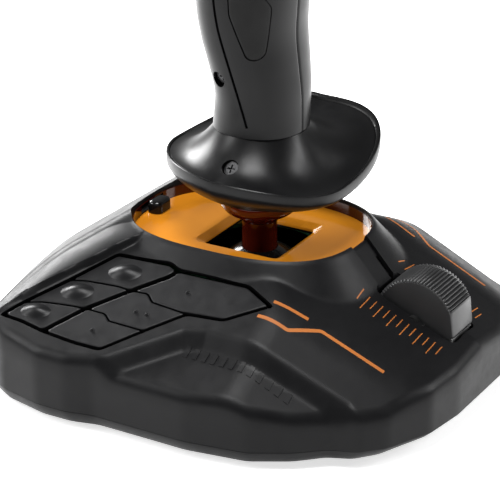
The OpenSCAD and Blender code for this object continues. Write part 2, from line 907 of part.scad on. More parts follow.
module hat_switch() {
    color(dark) on_face() translate([0, 0, hat_pivot + 4.4]) {
        cylinder(r = 5.6, h = 1.6);
        translate([0, 0, 1.6]) cylinder(r1 = 3.6, r2 = 4.6, h = 4.4);
        translate([0, 0, 6]) cylinder(r1 = 4.6, r2 = 3.8, h = 0.8);
    }
}

// ---- nodes ---------------------------------------------------------------------------------------

upper_shell();
lower_shell();
light_plate();
rubber_feet();
base_screws();
cable_gland();
main_board();
ballast_plate();
light_board();
mirror([1, 0, 0]) membrane();  // left_membrane
membrane();  // right_membrane
mirror([1, 0, 0]) button_board();  // left_button_board
button_board();  // right_button_board
throttle_bracket();
throttle_sensor();
gimbal_housing();
gimbal_screws();
sensor_board();
selector_slider();
for (i = [0:5]) {
    mirror([1, 0, 0]) base_button(i);
    base_button(i);
}
throttle_wheel();
throttle_axle();
gimbal_ring();
stick_knuckle();
roll_pin();
magnet_holder();
magnet();
centring_spring();
neck_shaft();
dust_dome();
neck_cup();
twist_bush();
twist_spring();
hand_rest();
rest_screw();
grip_shell(-1);  // left_grip_shell
grip_shell(1);  // right_grip_shell
grip_screws();
side_panels();
head_cap();
hat_cradle();
hat_yoke();
hat_switch();
thumb_button(0);  // thumb_button_left
thumb_button(1);  // thumb_button_middle
thumb_button(2);  // thumb_button_right
trigger();
trigger_pin();
trigger_frame();
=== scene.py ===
"""Looks of the flight joystick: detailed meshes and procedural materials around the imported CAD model."""
import json
import math

import bpy
import numpy as np
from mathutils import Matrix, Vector
from mathutils.geometry import convex_hull_2d


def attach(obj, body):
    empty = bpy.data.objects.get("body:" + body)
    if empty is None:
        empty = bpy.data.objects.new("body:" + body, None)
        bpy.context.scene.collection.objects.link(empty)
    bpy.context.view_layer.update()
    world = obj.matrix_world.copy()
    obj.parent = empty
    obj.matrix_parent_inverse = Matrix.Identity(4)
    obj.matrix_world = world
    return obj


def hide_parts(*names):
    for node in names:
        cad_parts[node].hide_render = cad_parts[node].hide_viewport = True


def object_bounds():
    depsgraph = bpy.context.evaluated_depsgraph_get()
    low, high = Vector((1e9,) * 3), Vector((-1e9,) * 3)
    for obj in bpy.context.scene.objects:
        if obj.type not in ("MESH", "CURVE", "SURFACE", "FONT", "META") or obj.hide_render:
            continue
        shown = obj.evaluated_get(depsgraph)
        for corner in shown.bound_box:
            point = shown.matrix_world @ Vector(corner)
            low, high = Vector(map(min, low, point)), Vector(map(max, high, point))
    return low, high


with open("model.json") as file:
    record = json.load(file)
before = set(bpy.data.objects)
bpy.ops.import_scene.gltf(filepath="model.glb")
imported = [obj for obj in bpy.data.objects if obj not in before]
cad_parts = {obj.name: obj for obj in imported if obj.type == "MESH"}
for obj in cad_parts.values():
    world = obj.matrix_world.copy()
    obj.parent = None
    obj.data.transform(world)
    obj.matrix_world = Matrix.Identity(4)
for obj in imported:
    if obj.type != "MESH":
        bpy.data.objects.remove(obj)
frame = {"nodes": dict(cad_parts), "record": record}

CAD_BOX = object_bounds()
MM = 0.001
TAU = 2 * math.pi
SIDES = ((-1, "left"), (1, "right"))

# ---- camera, lights and floor ----

CAMERA_AT = (-0.783394, -0.442961, 0.442730)
CAMERA_HEADING = math.radians(60.271)
CAMERA_DIP = math.radians(23.759)


def add_camera():
    """The camera at the photograph's viewing angle."""
    data = bpy.data.cameras.new("camera")
    data.lens = 180
    data.sensor_width = 36
    data.clip_start, data.clip_end = 0.01, 50
    camera = bpy.data.objects.new("camera", data)
    bpy.context.scene.collection.objects.link(camera)
    camera.location = CAMERA_AT
    forward = Vector((
        math.sin(CAMERA_HEADING) * math.cos(CAMERA_DIP),
        math.cos(CAMERA_HEADING) * math.cos(CAMERA_DIP),
        -math.sin(CAMERA_DIP),
    ))
    camera.rotation_mode = "QUATERNION"
    camera.rotation_quaternion = forward.to_track_quat("-Z", "Y")
    bpy.context.scene.camera = camera


def add_area_light(name, at, aim, size, power):
    """A rectangular light that looks at aim."""
    data = bpy.data.lights.new(name, "AREA")
    data.shape = "RECTANGLE"
    data.size, data.size_y = size
    data.energy = power
    light = bpy.data.objects.new(name, data)
    bpy.context.scene.collection.objects.link(light)
    light.location = at
    light.rotation_mode = "QUATERNION"
    light.rotation_quaternion = (Vector(aim) - Vector(at)).to_track_quat("-Z", "Y")


def add_world(strength):
    """Even white light from all around."""
    world = bpy.data.worlds.new("studio")
    world.use_nodes = True
    background = world.node_tree.nodes["Background"]
    background.inputs["Color"].default_value = (1, 1, 1, 1)
    background.inputs["Strength"].default_value = strength
    bpy.context.scene.world = world


def add_stage():
    """The white floor, which glows a little so that it is evenly lit."""
    bpy.ops.mesh.primitive_plane_add(size=12, location=(0, 0, 0))
    floor = bpy.context.object
    floor.name = "floor"
    white = Shader("floor_white")
    white.set(Base_Color=(0.85, 0.85, 0.85, 1), Roughness=0.6)
    white.set(Emission_Color=(1, 1, 1, 1), Emission_Strength=0.68)
    floor.data.materials.append(white.material)


# ---- materials ----


class Shader:
    """A Principled material with short calls for the nodes used here."""

    def __init__(self, name):
        self.material = bpy.data.materials.new(name)
        self.material.use_nodes = True
        self.nodes = self.material.node_tree.nodes
        self.links = self.material.node_tree.links
        self.bsdf = self.nodes["Principled BSDF"]
        self.coordinates = self.nodes.new("ShaderNodeTexCoord").outputs["Object"]

    def set(self, **values):
        """Sets inputs of the material, whose names have _ in place of a space."""
        for socket, value in values.items():
            self.bsdf.inputs[socket.replace("_", " ")].default_value = value

    def node(self, kind, **values):
        """A new node of a kind, with its inputs set in the same way."""
        node = self.nodes.new("ShaderNode" + kind)
        for socket, value in values.items():
            node.inputs[socket.replace("_", " ")].default_value = value
        return node

    def noise(self, size_mm, detail=2.0, roughness=0.5, stretch=(1, 1, 1)):
        mapping = self.node("Mapping", Scale=stretch)
        self.links.new(self.coordinates, mapping.inputs["Vector"])
        node = self.node("TexNoise", Scale=1 / (size_mm * MM), Detail=detail, Roughness=roughness)
        self.links.new(mapping.outputs["Vector"], node.inputs["Vector"])
        return node.outputs["Fac"]

    def grain(self, size_mm):
        node = self.node("TexVoronoi", Scale=1 / (size_mm * MM))
        self.links.new(self.coordinates, node.inputs["Vector"])
        return node.outputs["Distance"]

    def colours(self, fac, dark, light):
        ramp = self.nodes.new("ShaderNodeValToRGB")
        for element, position, colour in zip(ramp.color_ramp.elements, (0.3, 0.7), (dark, light)):
            element.position, element.color = position, (*colour, 1)
        self.links.new(fac, ramp.inputs["Fac"])
        self.links.new(ramp.outputs["Color"], self.bsdf.inputs["Base Color"])

    def rough(self, fac, low, high):
        node = self.node("MapRange", From_Min=0.3, From_Max=0.7, To_Min=low, To_Max=high)
        self.links.new(fac, node.inputs["Value"])
        self.links.new(node.outputs["Result"], self.bsdf.inputs["Roughness"])

    def bump(self, fac, height_mm):
        node = self.node("Bump", Strength=1, Distance=height_mm * MM)
        self.links.new(fac, node.inputs["Height"])
        before = self.bsdf.inputs["Normal"].links
        if before:
            self.links.new(before[0].from_socket, node.inputs["Normal"])
        self.links.new(node.outputs["Normal"], self.bsdf.inputs["Normal"])


def moulded(name, dark, light, rough_low, rough_high, grain_mm, grain_height, specular):
    """Moulded plastic or rubber: soft colour drift, uneven gloss and a fine spark-eroded grain."""
    shader = Shader(name)
    drift = shader.noise(30, 3)
    fine = shader.noise(0.5, 2, 0.6)
    shader.colours(drift, dark, light)
    shader.rough(shader.noise(6, 4, 0.6), rough_low, rough_high)
    if grain_mm:
        shader.bump(shader.grain(grain_mm), grain_height)
        shader.bump(fine, grain_height * 0.6)
    else:
        shader.bump(fine, 0.004)
    shader.set(Specular_IOR_Level=specular)
    return shader.material


def metal(name, dark, light, roughness, stretch=(1, 1, 12)):
    """Metal with fine scratches along one direction."""
    shader = Shader(name)
    scratches = shader.noise(0.8, 3, 0.6, stretch)
    shader.colours(shader.noise(5, 3), dark, light)
    shader.rough(scratches, roughness * 0.8, roughness * 1.25)
    shader.bump(scratches, 0.004)
    shader.set(Metallic=1.0)
    return shader.material


def amber(name, dark, light, roughness, painted_glow):
    """Glossy tinted plastic, a little cloudy; the last argument sets an emission, a painted glow that
    brightens the plastic though it is no lamp.
    """
    shader = Shader(name)
    shader.colours(shader.noise(28, 2, 0.4, (1, 1, 3)), dark, light)
    shader.rough(shader.noise(9, 3), roughness * 0.7, roughness * 1.3)
    shader.bump(shader.noise(14, 2), 0.02)
    shader.set(
        IOR=1.5, Specular_IOR_Level=0.3,
        Coat_Weight=0.1, Coat_Roughness=0.04,
        Emission_Color=(*light, 1), Emission_Strength=painted_glow,
    )
    return shader.material


def circuit_board(name):
    """Mottled green lacquer."""
    shader = Shader(name)
    shader.colours(shader.grain(2.2), (0.01, 0.06, 0.03), (0.02, 0.14, 0.07))
    shader.rough(shader.noise(1.2, 3), 0.25, 0.45)
    shader.bump(shader.grain(2.2), 0.03)
    return shader.material


# Name, dark and light colour, range of roughness, size and height of the grain in mm, specular level
PLASTICS = (
    ("black_grain", (0.003, 0.003, 0.0034), (0.0048, 0.0048, 0.0052), 0.34, 0.44, 0.42, 0.016, 0.13),
    ("black_button", (0.0045, 0.0045, 0.005), (0.0065, 0.0065, 0.007), 0.32, 0.42, 0.36, 0.014, 0.16),
    ("black_satin", (0.0028, 0.0028, 0.003), (0.0042, 0.0042, 0.0045), 0.28, 0.35, 0.30, 0.004, 0.16),
    ("black_soft", (0.006, 0.006, 0.006), (0.010, 0.010, 0.010), 0.5, 0.62, 0.35, 0.014, 0.14),
    ("black_gloss", (0.004, 0.004, 0.004), (0.006, 0.006, 0.006), 0.12, 0.2, 0, 0, 0.3),
    ("black_plain", (0.006, 0.006, 0.006), (0.010, 0.010, 0.010), 0.45, 0.6, 0, 0, 0.14),
    # The next material is near black, darker than the moulded plastic: painted shade in the throttle slot and
    # in the gaps between the buttons, and the colour of the dark seam joint.
    ("black_deep", (0.001, 0.001, 0.001), (0.002, 0.002, 0.002), 0.7, 0.8, 0, 0, 0.1),
    ("wheel_grey", (0.014, 0.014, 0.0145), (0.019, 0.019, 0.0195), 0.30, 0.40, 0, 0, 0.5),
    ("orange_print", (0.27, 0.082, 0.014), (0.33, 0.104, 0.019), 0.4, 0.5, 0, 0, 0.2),
    ("blue_plain", (0.02, 0.05, 0.2), (0.03, 0.08, 0.3), 0.35, 0.5, 0, 0, 0.5),
    ("silicone", (0.5, 0.5, 0.47), (0.62, 0.62, 0.6), 0.5, 0.65, 0, 0, 0.5),
)
MATERIALS = {row[0]: moulded(*row) for row in PLASTICS}
MATERIALS.update({
    "steel": metal("steel", (0.05, 0.05, 0.052), (0.09, 0.09, 0.092), 0.3),
    "brass": metal("brass", (0.6, 0.42, 0.16), (0.75, 0.55, 0.25), 0.25),
    # amber_clear gets an emission of 0.22: a painted glow, not light from a lamp
    "amber_clear": amber("amber_clear", (0.44, 0.150, 0.008), (0.54, 0.20, 0.012), 0.12, 0.22),
    "amber_dark": amber("amber_dark", (0.035, 0.0035, 0.0015), (0.065, 0.007, 0.0025), 0.08, 0.0),
    "board": circuit_board("board"),
})


def dress_nodes():
    """Every CAD node that stays visible takes the material of its slot."""
    slots = {s["node"]: s["material_slot"] for s in frame["record"]["subparts"]}
    for name, node in frame["nodes"].items():
        node.data.materials.clear()
        node.data.materials.append(MATERIALS[slots[name]])
        for polygon in node.data.polygons:
            polygon.material_index = 0


# ---- mesh helpers (all lengths in millimetres) ----


def add_piece(name, vertices, faces, material, body, replaces=(), slot=None, smooth=38):
    """Makes an object from millimetre vertices and gives it its body and material; slot is not used."""
    mesh = bpy.data.meshes.new(name)
    mesh.from_pydata((np.asarray(vertices, float) * MM).tolist(), [], [list(map(int, f)) for f in faces])
    mesh.validate()
    piece = bpy.data.objects.new(name, mesh)
    bpy.context.scene.collection.objects.link(piece)
    mesh.materials.append(MATERIALS[material])
    shade(piece, smooth)
    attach(piece, body)
    if replaces:
        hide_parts(*replaces)
    return piece


def shade(piece, angle):
    """Smooth shading, with edges sharper than angle kept crisp."""
    mesh = piece.data
    mesh.polygons.foreach_set("use_smooth", [True] * len(mesh.polygons))
    mesh.set_sharp_from_angle(angle=math.radians(angle))
    mesh.update()


def ring_faces(count, points, closed=False, flip=False):
    """Quads between count rings of points; closed joins the last ring to the first."""
    i = np.arange(points)
    j = (i + 1) % points
    faces = []
    for k in range(count if closed else count - 1):
        a, b = k * points, ((k + 1) % count) * points
        quad = np.stack([a + i, a + j, b + j, b + i], 1)
        faces.append(quad[:, ::-1] if flip else quad)
    return [tuple(f) for f in np.concatenate(faces)]


def loft(rings, start_cap=True, end_cap=True):
    """Vertices and faces of a skin through rings that run anticlockwise seen from the end."""
    rings = [np.asarray(r, float) for r in rings]
    points = len(rings[0])
    vertices = list(np.concatenate(rings))
    faces = ring_faces(len(rings), points)
    for wanted, base, order in ((start_cap, 0, -1), (end_cap, (len(rings) - 1) * points, 1)):
        if wanted:
            vertices.append(np.mean(vertices[base:base + points], axis=0))
            hub = len(vertices) - 1
            for i in range(points):
                pair = (base + i, base + (i + 1) % points)
                faces.append((*pair[::order], hub))
    return np.array(vertices), faces


def hoop(rings, flip=False):
    """Vertices and faces of a closed skin whose last ring joins the first."""
    return np.concatenate(rings), ring_faces(len(rings), len(rings[0]), True, flip)


def capped(rings):
    """Vertices and faces of a skin through rings, with one flat face at each end."""
    n = len(rings[0])
    last = (len(rings) - 1) * n
    ends = [tuple(range(n))[::-1], tuple(range(last, last + n))]
    return np.concatenate(rings), ring_faces(len(rings), n) + ends


def level(outline, z):
    """The outline's (x, y) points with z, which is one height or one for each point."""
    return np.column_stack([outline, np.broadcast_to(z, len(outline))])


def circle(t, r, z, centre=(0, 0)):
    """Points at the angles t of a level circle."""
    return np.stack([centre[0] + r * np.cos(t), centre[1] + r * np.sin(t), np.full(len(t), z)], 1)


def flipped(faces):
    """The faces turned to look the other way."""
    return [tuple(f)[::-1] for f in faces]


def side_name(side):
    """The word for a side."""
    return dict(SIDES)[side]


def join(*parts):
    """Joins (vertices, faces) pairs into one."""
    vertices, faces, base = [], [], 0
    for v, f in parts:
        vertices.append(np.asarray(v, float))
        faces += [tuple(i + base for i in face) for face in f]
        base += len(v)
    return np.concatenate(vertices), faces


def outward(part):
    """The same closed part with its faces turned to look outwards."""
    v = np.asarray(part[0], float)
    volume = 0.0
    for face in part[1]:
        for i in range(1, len(face) - 1):
            volume += np.dot(v[face[0]], np.cross(v[face[i]], v[face[i + 1]]))
    return v, (part[1] if volume > 0 else flipped(part[1]))


def smooth_min(a, b, r):
    h = np.clip(0.5 + 0.5 * (b - a) / r, 0, 1)
    return b * (1 - h) + a * h - r * h * (1 - h)


def smooth_max(a, b, r):
    return -smooth_min(-a, -b, r)


def smooth_step(x):
    x = np.clip(x, 0, 1)
    return x * x * (3 - 2 * x)


def rounded(points, radius, steps=6, closed=True):
    """A polyline with each corner rounded by up to radius."""
    points = [np.asarray(p, float) for p in points]
    n = len(points)
    made = []
    for i, p in enumerate(points):
        if not closed and i in (0, n - 1):
            made.append(p)
            continue
        before, after = points[i - 1] - p, points[(i + 1) % n] - p
        r = min(radius, 0.48 * np.linalg.norm(before), 0.48 * np.linalg.norm(after))
        a, b = p + before / np.linalg.norm(before) * r, p + after / np.linalg.norm(after) * r
        for t in np.linspace(0, 1, steps):
            made.append((1 - t) ** 2 * a + 2 * t * (1 - t) * p + t * t * b)
    return np.array(made)


def resample(points, step, closed=True):
    """Evenly spaced points along a polyline."""
    points = np.asarray(points, float)
    if closed:
        points = np.vstack([points, points[:1]])
    lengths = np.concatenate([[0], np.cumsum(np.linalg.norm(np.diff(points, axis=0), axis=1))])
    count = max(8, int(round(lengths[-1] / step)))
    at = np.linspace(0, lengths[-1], count + (0 if closed else 1), endpoint=not closed)
    return np.stack([np.interp(at, lengths, points[:, k]) for k in range(points.shape[1])], 1)


def distance_to(points, x, y, closed=True):
    """Distance from (x, y) to a polyline, negative inside it where it is closed."""
    points = np.asarray(points, float)
    best = np.full(np.shape(x), 1e9)
    inside = np.zeros(np.shape(x), bool)
    last = len(points) if closed else len(points) - 1
    for i in range(last):
        (ax, ay), (bx, by) = points[i], points[(i + 1) % len(points)]
        dx, dy = bx - ax, by - ay
        t = np.clip(((x - ax) * dx + (y - ay) * dy) / (dx * dx + dy * dy), 0, 1)
        best = np.minimum(best, np.hypot(x - ax - t * dx, y - ay - t * dy))
        if closed:
            crosses = (ay > y) != (by > y)
            with np.errstate(divide="ignore", invalid="ignore"):
                inside ^= crosses & (x < ax + (y - ay) * dx / (dy if dy else 1e-9))
    return np.where(inside, -best, best)


def reach(points, angles, centre):
    """Distance from centre to a star-shaped outline at each angle."""
    rel = np.asarray(points, float) - centre
    a = np.unwrap(np.arctan2(rel[:, 1], rel[:, 0]))
    if a[-1] < a[0]:
        a, rel = a[::-1], rel[::-1]
    r = np.hypot(rel[:, 0], rel[:, 1])
    a = np.concatenate([a - TAU, a, a + TAU])
    return np.interp(np.asarray(angles), a, np.tile(r, 3))


def cut(piece, cutter):
    """Takes cutter (vertices, faces) out of piece."""
    mesh = bpy.data.meshes.new("cutter")
    mesh.from_pydata((np.asarray(cutter[0]) * MM).tolist(), [], [list(map(int, f)) for f in cutter[1]])
    other = bpy.data.objects.new("cutter", mesh)
    bpy.context.scene.collection.objects.link(other)
    modifier = piece.modifiers.new("cut", "BOOLEAN")
    modifier.operation = "DIFFERENCE"
    modifier.solver = "EXACT"
    modifier.object = other
    depsgraph = bpy.context.evaluated_depsgraph_get()
    made = bpy.data.meshes.new_from_object(piece.evaluated_get(depsgraph))
    piece.modifiers.clear()
    old = piece.data
    piece.data = made
    bpy.data.meshes.remove(old)
    bpy.data.objects.remove(other)


def prism(outline, z0, z1):
    """A closed prism over a flat anticlockwise outline."""
    return capped([level(outline, z) for z in (z0, z1)])


# ---- the base's shape ----

SEAM_Z, FOOT_H, PLATE_Z, RING_Z = 7.8, 2.0, 54.0, 59.8
PIVOT_Z, DOME_R = 28, 22
OVAL_A, OVAL_B, OVAL_Y, OVAL_E = 35.5, 46.5, 3.5, 2.7
HOLE_W = 32.6
HALF_W, HALF_D = CAD_BOX[1].x / MM, CAD_BOX[1].y / MM
CENTRE = np.array([0, OVAL_Y])

HALF_OUTLINE = [
    (20, -HALF_D), (38, -94.5), (57, -86), (65, -78.5), (68.5, -68), (77, -58), (85.5, -43),
    (89.3, -18), (88.5, 22), (HALF_W, 33), (HALF_W - 0.2, 46), (86, 65), (77, 80), (62, 90),
    (38, 95.5), (14, HALF_D),
]
OUTLINE = HALF_OUTLINE + [(-x, y) for x, y in HALF_OUTLINE[::-1]]

# Planes of the deck: heading in degrees, distance along it, height there, fall
SIDE = (0, 46.2, 50.7, 0.47)
CORNER = (-45, 67.7, 43.9, 0.66)
FRONT = (-74.7, 50.1, 48.6, 0.456)
REAR = (90, 46, 62.5, 0.66)
REAR_CORNER = (77.3, 88.8, 36, 1.2)
# The hood rises behind a line through (HOOD_X, HOOD_Y)
HOOD_X, HOOD_Y, HOOD_SLOPE, HOOD_LIFT = 44, 41.5, 0.83, 2.5

RECESS = [(100, 36), (67, -5.3), (64.8, -14), (65, -40), (62.8, -72.7), (75, -100), (130, -100), (130, 36)]
RECESS_DEPTH = 4.6


def power_oval(t, a, b, e):
    """A rounded rectangle of half sizes a and b: squarer the larger e is."""
    c, s = np.cos(t), np.sin(t)
    return a * np.sign(c) * np.abs(c) ** (2 / e), b * np.sign(s) * np.abs(s) ** (2 / e)


def oval(grow=0.0, count=360):
    """The outline of the ring around the light plate."""
    t = (np.arange(count) + 0.5) * TAU / count
    x, y = power_oval(t, OVAL_A + grow, OVAL_B + grow, OVAL_E)
    return np.stack([x, OVAL_Y + y], 1)


def plane(p, x, y):
    """Height of one of the deck's planes."""
    heading = math.radians(p[0])
    return p[2] - p[3] * (x * math.cos(heading) + y * math.sin(heading) - p[1])


def deck_height(x, y):
    """Height of the base's upper face, without its rim."""
    ax = np.abs(x)
    deck = smooth_min(plane(SIDE, ax, y), plane(CORNER, ax, y), 2.5)
    deck = smooth_min(deck, plane(FRONT, ax, y), 3.0)
    back = smooth_min(plane(REAR, ax, y), plane(REAR_CORNER, ax, y), 9.0)
    hood = smooth_min(smooth_min(plane(SIDE, ax, y) + HOOD_LIFT, back, 10.0), RING_Z + 0.6, 4.0)
    deck = smooth_min(deck, back, 3.0)
    into_hood = (y - HOOD_Y - HOOD_SLOPE * (ax - HOOD_X)) * 0.77
    deck = deck + (np.maximum(hood, deck) - deck) * smooth_step((into_hood + 0.3) / 2.0)
    distance = np.hypot(x, y - OVAL_Y)
    f = ((ax / OVAL_A) ** OVAL_E + (np.abs(y - OVAL_Y) / OVAL_B) ** OVAL_E) ** (1 / OVAL_E)
    beyond = distance * (1 - 1 / np.maximum(f, 0.2))
    ring = RING_Z - smooth_max(beyond - 1.0, 0, 0.8) * 1.12
    deck = smooth_max(deck, ring, 0.9)
    into_recess = -distance_to(RECESS, ax, y)
    drop = smooth_min(smooth_max(into_recess, 0, 1.1), RECESS_DEPTH, 1.0)
    return deck - np.where(into_recess > -3, drop, 0)


CHANNEL_HALF, CHANNEL_DEPTH, GROOVE_HALF = 6.2, 2.0, 0.75


def outline_curve():
    """The base's outline in even steps."""
    return resample(rounded(OUTLINE, 2.4), 0.85)


def radial_grid():
    """Angles and both reaches of the deck between the oval and the outline."""
    outer = outline_curve() - CENTRE
    angles = np.unwrap(np.arctan2(outer[:, 1], outer[:, 0]))
    if angles[-1] < angles[0]:
        angles = angles[::-1]
    inner = reach(oval(), angles, CENTRE)
    return angles, inner, reach(outline_curve(), angles, CENTRE)


SHELL, RIM = 2.6, 3.6


def shell_top(xy, r, outer):
    """The deck's height with the rounded rim taken off."""
    edge = np.clip(outer - r, 0, RIM)
    return deck_height(xy[:, 0], xy[:, 1]) - (RIM - np.sqrt(np.maximum(RIM ** 2 - (RIM - edge) ** 2, 0)))


def upper_shell():
    """The deck, its rounded rim and its underside as one closed skin, without the openings."""
    angles, inner, outer = radial_grid()
    directions = np.stack([np.cos(angles), np.sin(angles)], 1)

    def ring_at(r, z):
        return level(CENTRE + directions * r[:, None], z)

    steps = np.concatenate([
        np.linspace(0, 0.15, 13)[:-1], np.linspace(0.15, 0.9, 72)[:-1], np.linspace(0.9, 1, 13),
    ])
    rings = [ring_at(inner, z) for z in (PLATE_Z - 1, PLATE_Z + 2.5, RING_Z - 0.9)]
    rings.append(ring_at(inner + 0.25, RING_Z - 0.25))
    for q in steps[1:]:
        r = inner + q * (outer - inner)
        xy = CENTRE + directions * r[:, None]
        rings.append(level(xy, shell_top(xy, r, outer)))
    top = rings[-1]
    for t in (0.25, 0.5, 0.75, 1.0):
        ring = top.copy()
        ring[:, 2] = top[:, 2] + (SEAM_Z - top[:, 2]) * t
        rings.append(ring)
    # the underside, back to the oval
    inside, outside = inner + 2.2, outer - SHELL
    rings.append(ring_at(outside, SEAM_Z))
    for q in np.linspace(1, 0, 44):
        r = inside + q * (outside - inside)
        xy = CENTRE + directions * r[:, None]
        rings.append(level(xy, shell_top(xy, r, outer) - SHELL))
    rings.append(ring_at(inside, PLATE_Z - 1))
    skin = hoop(rings, True)
    return add_piece("base_upper_shell", *skin, "black_grain", "base", ["upper_shell"], smooth=30)


BASE_SCREWS = ((60, 80), (76, -14), (38, -76), (22, 88))

# ---- the base's pieces ----


def lathe(profile, segments=96, centre=(0, 0)):
    """A closed turned skin through (radius, z) points, from the bottom of the axis to its top."""
    t = np.arange(segments) * TAU / segments
    return loft([circle(t, r, z, centre) for r, z in profile])


def rod(r, z0, z1, segments, centre=(0, 0)):
    """A closed cylinder."""
    return lathe([(0.01, z0), (r, z0), (r, z1), (0.01, z1)], segments, centre)


def spun(profile, segments=96, flip=False):
    """A closed turned tube through (radius, z) points that stay off the axis."""
    t = np.arange(segments) * TAU / segments
    return hoop([circle(t, r, z) for r, z in profile], flip)


def strip(line, half_width, low, high):
    """A closed band along a line of (x, y), between the heights that low and high give there."""
    line = np.asarray(line, float)
    along = np.gradient(line, axis=0)
    side = np.stack([-along[:, 1], along[:, 0]], 1)
    side = side / np.linalg.norm(side, axis=1)[:, None] * half_width
    sections = []
    for at, off in zip(line, side):
        right, left = at - off, at + off
        sections.append([
            (*right, low(*right)), (*left, low(*left)), (*left, high(*left)), (*right, high(*right)),
        ])
    return loft(sections)


def turned(part, origin, rotation):
    """Moves (vertices, faces) by a rotation matrix and an origin."""
    return np.asarray(part[0]) @ np.asarray(rotation).T + np.asarray(origin), part[1]


def about_x(degrees):
    """Turns +Y towards +Z."""
    c, s = math.cos(math.radians(degrees)), math.sin(math.radians(degrees))
    return np.array([[1, 0, 0], [0, c, -s], [0, s, c]])


def inset(points, distances):
    """An anticlockwise outline with each edge moved inwards by its own distance."""
    points = np.asarray(points, float)
    n = len(points)
    lines = []
    for i in range(n):
        p, q = points[i], points[(i + 1) % n]
        d = (q - p) / np.linalg.norm(q - p)
        lines.append((p + np.array([-d[1], d[0]]) * distances[i % len(distances)], d))
    made = []
    for i in range(n):
        (p, d), (q, e) = lines[i - 1], lines[i]
        turn = d[0] * e[1] - d[1] * e[0]
        made.append(q if abs(turn) < 0.02 else p + d * (((q - p)[0] * e[1] - (q - p)[1] * e[0]) / turn))
    return np.array(made)


TILT = math.atan(SIDE[3])
DECK_C, DECK_S = math.cos(TILT), math.sin(TILT)


def on_deck(points, side):
    """Local (along the slope, y, height above the deck) points on the left or right side plane."""
    u, v, w = np.asarray(points, float).T
    return np.stack([side * (SIDE[1] + u * DECK_C + w * DECK_S), v, SIDE[2] - u * DECK_S + w * DECK_C], 1)


def deck_plan(points):
    """Plan points of the base in the local coordinates of the deck."""
    points = np.asarray(points, float)
    return np.stack([(points[:, 0] - SIDE[1]) / DECK_C, points[:, 1]], 1)


def deck_part(part, side):
    """Puts a part made in local deck coordinates on one side of the base."""
    return on_deck(part[0], side), part[1] if side > 0 else flipped(part[1])


# The two rows of buttons on the right side: outer edges, the line between the rows and the dividers
ROW_LINE = [(43.2, 11.1), (46.4, 12.9), (56.2, 24.3), (68.2, 37.3), (81.8, 48.2)]
REAR_EDGE = [(42.3, 38.7), (57.9, 51.0), (71.9, 63.1), (77.9, 69.0)]
REAR_DIVIDERS = [
    [(57.9, 51.0), (56.7, 44.1), (56.1, 36), (55.8, 29.9), (56.2, 24.3)],
    [(71.9, 63.1), (69.9, 55.4), (69, 48.1), (68.4, 41.5), (68.2, 37.3)],
]
FRONT_DIVIDERS = [
    [(56.2, 24.3), (55.9, 17.0), (58.9, 13.4), (60.3, -3.0)],
    [(68.2, 37.3), (68.4, 28.4), (70.9, 25.2), (71.4, 9.2)],
]
BUTTONS = [
    [(41.4, 15.5), ROW_LINE[0], ROW_LINE[1], *REAR_DIVIDERS[0][::-1], REAR_EDGE[0]],
    [*REAR_DIVIDERS[0], *REAR_DIVIDERS[1][::-1]],
    [*REAR_DIVIDERS[1], ROW_LINE[4], (79.9, 58.8), (79.2, 68.2)],
    [*FRONT_DIVIDERS[0][::-1], ROW_LINE[1], ROW_LINE[0], (42.9, -19.5), (48.8, -32.4), (59.2, -18)],
    [*FRONT_DIVIDERS[0], *FRONT_DIVIDERS[1][::-1]],
    [*FRONT_DIVIDERS[1], (83.3, 21.5), (83.2, 33), ROW_LINE[4]],
]
BLOCK = [
    (41.4, 15.5), ROW_LINE[0], (42.9, -19.5), (48.8, -32.4), (59.2, -18), (60.3, -3.0), (71.4, 9.2),
    (83.3, 21.5), (83.2, 33), ROW_LINE[4], (79.9, 58.8), (79.2, 68.2), *REAR_EDGE[2::-1],
]
DOMES = [((49.3, 31.2), 7.0, 4.3, 78), ((62.1, 45.0), 6.9, 4.2, 74), ((74.4, 56.0), 6.3, 3.7, 80)]
DOTS = [[(51.5, 2.1)], [(64.6, 17.1), (64.6, 12.2)], [(76.4, 29.2)]]


def anticlockwise(points):
    """The outline in anticlockwise order."""
    points = np.asarray(points, float)
    x, y = points.T
    return points if np.sum(x * np.roll(y, -1) - y * np.roll(x, -1)) > 0 else points[::-1]


def mound(centre, a, b, degrees, height, rings=10, points=48):
    """A smooth oval dome that runs out tangentially into the face around it."""
    t = np.arange(points) * TAU / points
    c, s = math.cos(math.radians(degrees)), math.sin(math.radians(degrees))
    made = []
    for q in np.linspace(1, 0.06, rings):
        x, y = a * q * np.cos(t), b * q * np.sin(t)
        z = height * (1 - q * q) ** 1.35 - 0.03
        made.append(np.stack([centre[0] + x * c - y * s, centre[1] + x * s + y * c, np.full(points, z)], 1))
    return loft(made, False)


def gap_beside(p, q):
    """Half the gap at a tile's edge: widest between the rows, narrow between buttons of one row."""
    x, y = (np.asarray(p) + np.asarray(q))[:, None] / 2
    if distance_to(ROW_LINE, x, y, False)[0] < 0.8:
        return 1.0
    return 0.75 if abs(distance_to(BLOCK, x, y)[0]) < 0.6 else 0.28


def base_button(side, index):
    """One button: a tile with rounded edges, and a dome or small dots on it."""
    plan = anticlockwise(BUTTONS[index])
    gaps = [gap_beside(p, q) for p, q in zip(plan, np.roll(plan, -1, axis=0))]
    rings = []
    profile = ((0, -3.2), (0, -0.42), (0.06, -0.2), (0.2, -0.06), (0.42, 0.0), (0.62, 0.0))
    for shrink, height in profile:
        outline = deck_plan(rounded(inset(plan, [gap + shrink for gap in gaps]), 1.0, 4))
        rings.append(level(outline, height))
    parts = [capped(rings)]
    if index < 3:
        centre, a, b, degrees = DOMES[index]
        parts.append(mound(deck_plan([centre])[0], a, b, degrees, 1.9))
    else:
        for dot in DOTS[index - 3]:
            parts.append(mound(deck_plan([dot])[0], 0.95, 0.95, 0, 0.95, 6, 20))
    vertices, faces = deck_part(join(*parts), side)
    name = f"{side_name(side)}_button_{index + 1}"
    add_piece(name + "_tile", vertices, faces, "black_button", name, [name], "black_grain", 30)


